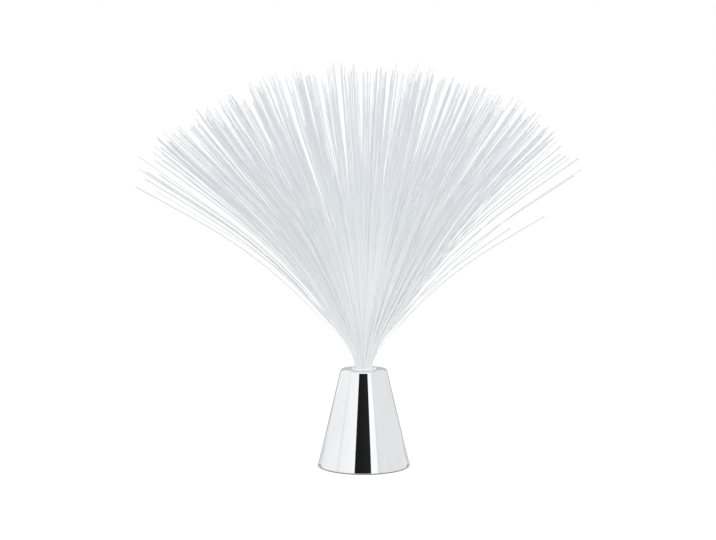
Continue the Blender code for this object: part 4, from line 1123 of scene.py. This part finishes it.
def makeCells():
    s = cellSet
    shoulder = s["length"] - s["nubHeight"]
    corners = [
        (0, s["length"]), (s["nubRadius"], s["length"], 0.3), (s["nubRadius"], shoulder - 0.1, 0.1),
        (s["radius"] - 1.0, shoulder - 0.1, 0.1), (s["radius"] - 0.7, shoulder, 0.15),
        (s["radius"], shoulder, s["edge"]), (s["radius"], 0, s["edge"]),
        (s["radius"] - 0.8, 0, 0.1), (s["radius"] - 0.9, 0.2, 0.1), (0, 0.2),
    ]
    outline = roundOutline(corners, 5, closed=False)
    for index in range(3):
        low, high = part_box(f"battery_{index + 1}")
        side = 1 if index % 2 == 0 else -1
        shape = bmesh.new()
        turn(shape, outline, s["steps"])
        uv = shape.loops.layers.uv.new("along")
        for face in shape.faces:
            for loop in face.loops:
                loop[uv].uv = (0.5, loop.vert.co.z / (s["length"] * mm))
        place = alongCell(index, -side, low.y if side > 0 else high.y)
        bmesh.ops.transform(shape, matrix=place, verts=shape.verts)
        name = f"cell{index + 1}"
        newPiece(name, meshOf(name, shape), cellSleeve, "base", [f"battery_{index + 1}"])


springSet = {"height": 3.4, "baseRadius": 3.6, "topRadius": 1.7, "wire": 0.25, "turns": 3, "steps": 32, "sides": 10}


def makeSprings():
    s = springSet
    count = s["turns"] * s["steps"]
    share = np.linspace(0, 1, count + 1)
    radius = s["baseRadius"] + (s["topRadius"] - s["baseRadius"]) * share
    angle = fullTurn * s["turns"] * share
    rise = s["wire"] + (s["height"] - 2 * s["wire"]) * share
    coil = np.stack([radius * np.cos(angle), radius * np.sin(angle), rise], axis=1) * mm
    for index in range(3):
        low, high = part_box(f"battery_spring_{index + 1}")
        side = -1 if index % 2 == 0 else 1
        place = alongCell(index, side, low.y if side < 0 else high.y)
        points = np.array([tuple(place @ Vector(point)) for point in coil])
        name = f"cellSpring{index + 1}"
        mesh = coilMesh(name, points, place, s)
        newPiece(name, mesh, nickel, "base", [f"battery_spring_{index + 1}"])


def coilMesh(name, points, place, s):
    axis = np.array(place.to_3x3() @ Vector((0, 0, 1)))
    tangents = np.gradient(points, axis=0)
    tangents /= np.linalg.norm(tangents, axis=1, keepdims=True)
    first = np.cross(tangents, axis)
    first /= np.linalg.norm(first, axis=1, keepdims=True)
    second = np.cross(tangents, first)
    shape = bmesh.new()
    rings = []
    for point, out, up in zip(points, first, second):
        ring = []
        for side in range(s["sides"]):
            turned = fullTurn * side / s["sides"]
            away = out * math.cos(turned) + up * math.sin(turned)
            ring.append(shape.verts.new(point + away * s["wire"] * mm))
        rings.append(ring)
    for ring, after in zip(rings, rings[1:]):
        for side in range(s["sides"]):
            other = (side + 1) % s["sides"]
            shape.faces.new((ring[side], ring[other], after[other], after[side]))
    shape.faces.new(rings[0])
    shape.faces.new(rings[-1])
    return meshOf(name, shape)


sliderSet = {
    "blockLength": 4.8, "blockWidth": 3.9, "blockLow": 4.5, "blockHigh": 6.4, "knobLength": 3.0, "knobWidth": 2.4,
    "knobLow": 1.2, "ridges": 3, "ridgePitch": 1.0, "ridgeLength": 0.56, "ridgeHeight": 0.45,
}


def makeSlider():
    s = sliderSet
    low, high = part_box("switch_slider")
    x, y = (low.x + high.x) / 2 / mm, (low.y + high.y) / 2 / mm
    knobTop, knobFace = s["blockLow"] + 0.5, s["knobLow"] + s["ridgeHeight"]
    blocks = [
        (s["blockWidth"], s["blockLength"], y, s["blockLow"], s["blockHigh"], 0.2),
        (s["knobWidth"], s["knobLength"], y, knobFace, knobTop, 0.15),
    ]
    for ridge in range(s["ridges"]):
        middle = y + (ridge - (s["ridges"] - 1) / 2) * s["ridgePitch"]
        blocks.append((s["knobWidth"] - 0.2, s["ridgeLength"], middle, s["knobLow"], s["knobLow"] + 1.0, 0.12))
    shape = bmesh.new()
    for width, length, middle, bottom, top, bevel in blocks:
        addBlock(shape, (x - width / 2, middle - length / 2, bottom),
                 (x + width / 2, middle + length / 2, top), bevel)
    newPiece("slideKnob", meshOf("slideKnob", shape), blackAbs, "switch", ["switch_slider"])


ledSet = {
    "radius": 2.5, "flange": 2.9, "flangeHeight": 1.0, "bottom": 48.6, "top": 57.2,
    "leadHalf": 0.25, "leadPitch": 2.54, "leadBottom": 45.6,
}


def makeLed():
    s = ledSet
    flangeTop = s["bottom"] + s["flangeHeight"]
    corners = [
        (0, s["top"]), (s["radius"], s["top"], s["radius"] - 0.01), (s["radius"], flangeTop, 0.1),
        (s["flange"], flangeTop, 0.15), (s["flange"], s["bottom"], 0.1), (0, s["bottom"]),
    ]
    shape = bmesh.new()
    turn(shape, roundOutline(corners, 12, closed=False), 48)
    for side in (-1, 1):
        x = side * s["leadPitch"] / 2
        addBlock(shape, (x - s["leadHalf"], -s["leadHalf"], s["leadBottom"]),
                 (x + s["leadHalf"], s["leadHalf"], s["bottom"] + 0.5), 0.04)
    newPiece("ledLens", meshOf("ledLens", shape), epoxy, "base", ["led"])


makeCells()
makeSprings()
makeSlider()
makeLed()

for material, names in (
    (blackAbs, ("base_plate",)),
    (nickel, ("contact_positive", "contact_negative", "contact_link_1", "contact_link_2",
              "switch_frame", "switch_pin_1", "switch_pin_2", "switch_pin_3")),
    (phenolic, ("switch_base",)),
    (whiteNylon, ("led_holder",)),
    (boardResist, ("led_board",)),
    (lacquer, ("resistor",)),
    (redPvc, ("wire_red",)),
    (blackPvc, ("wire_black",)),
    (whitePvc, ("wire_white",)),
):
    for name in names:
        dressNode(name, material)
print("cells, switch and light made")


# ---- view settings and sizes

bpy.context.scene.view_settings.view_transform = "Standard"
bpy.context.scene.cycles.diffuse_bounces = 16  # light passes between many fibres before it leaves the core
bpy.context.scene.cycles.max_bounces = 20
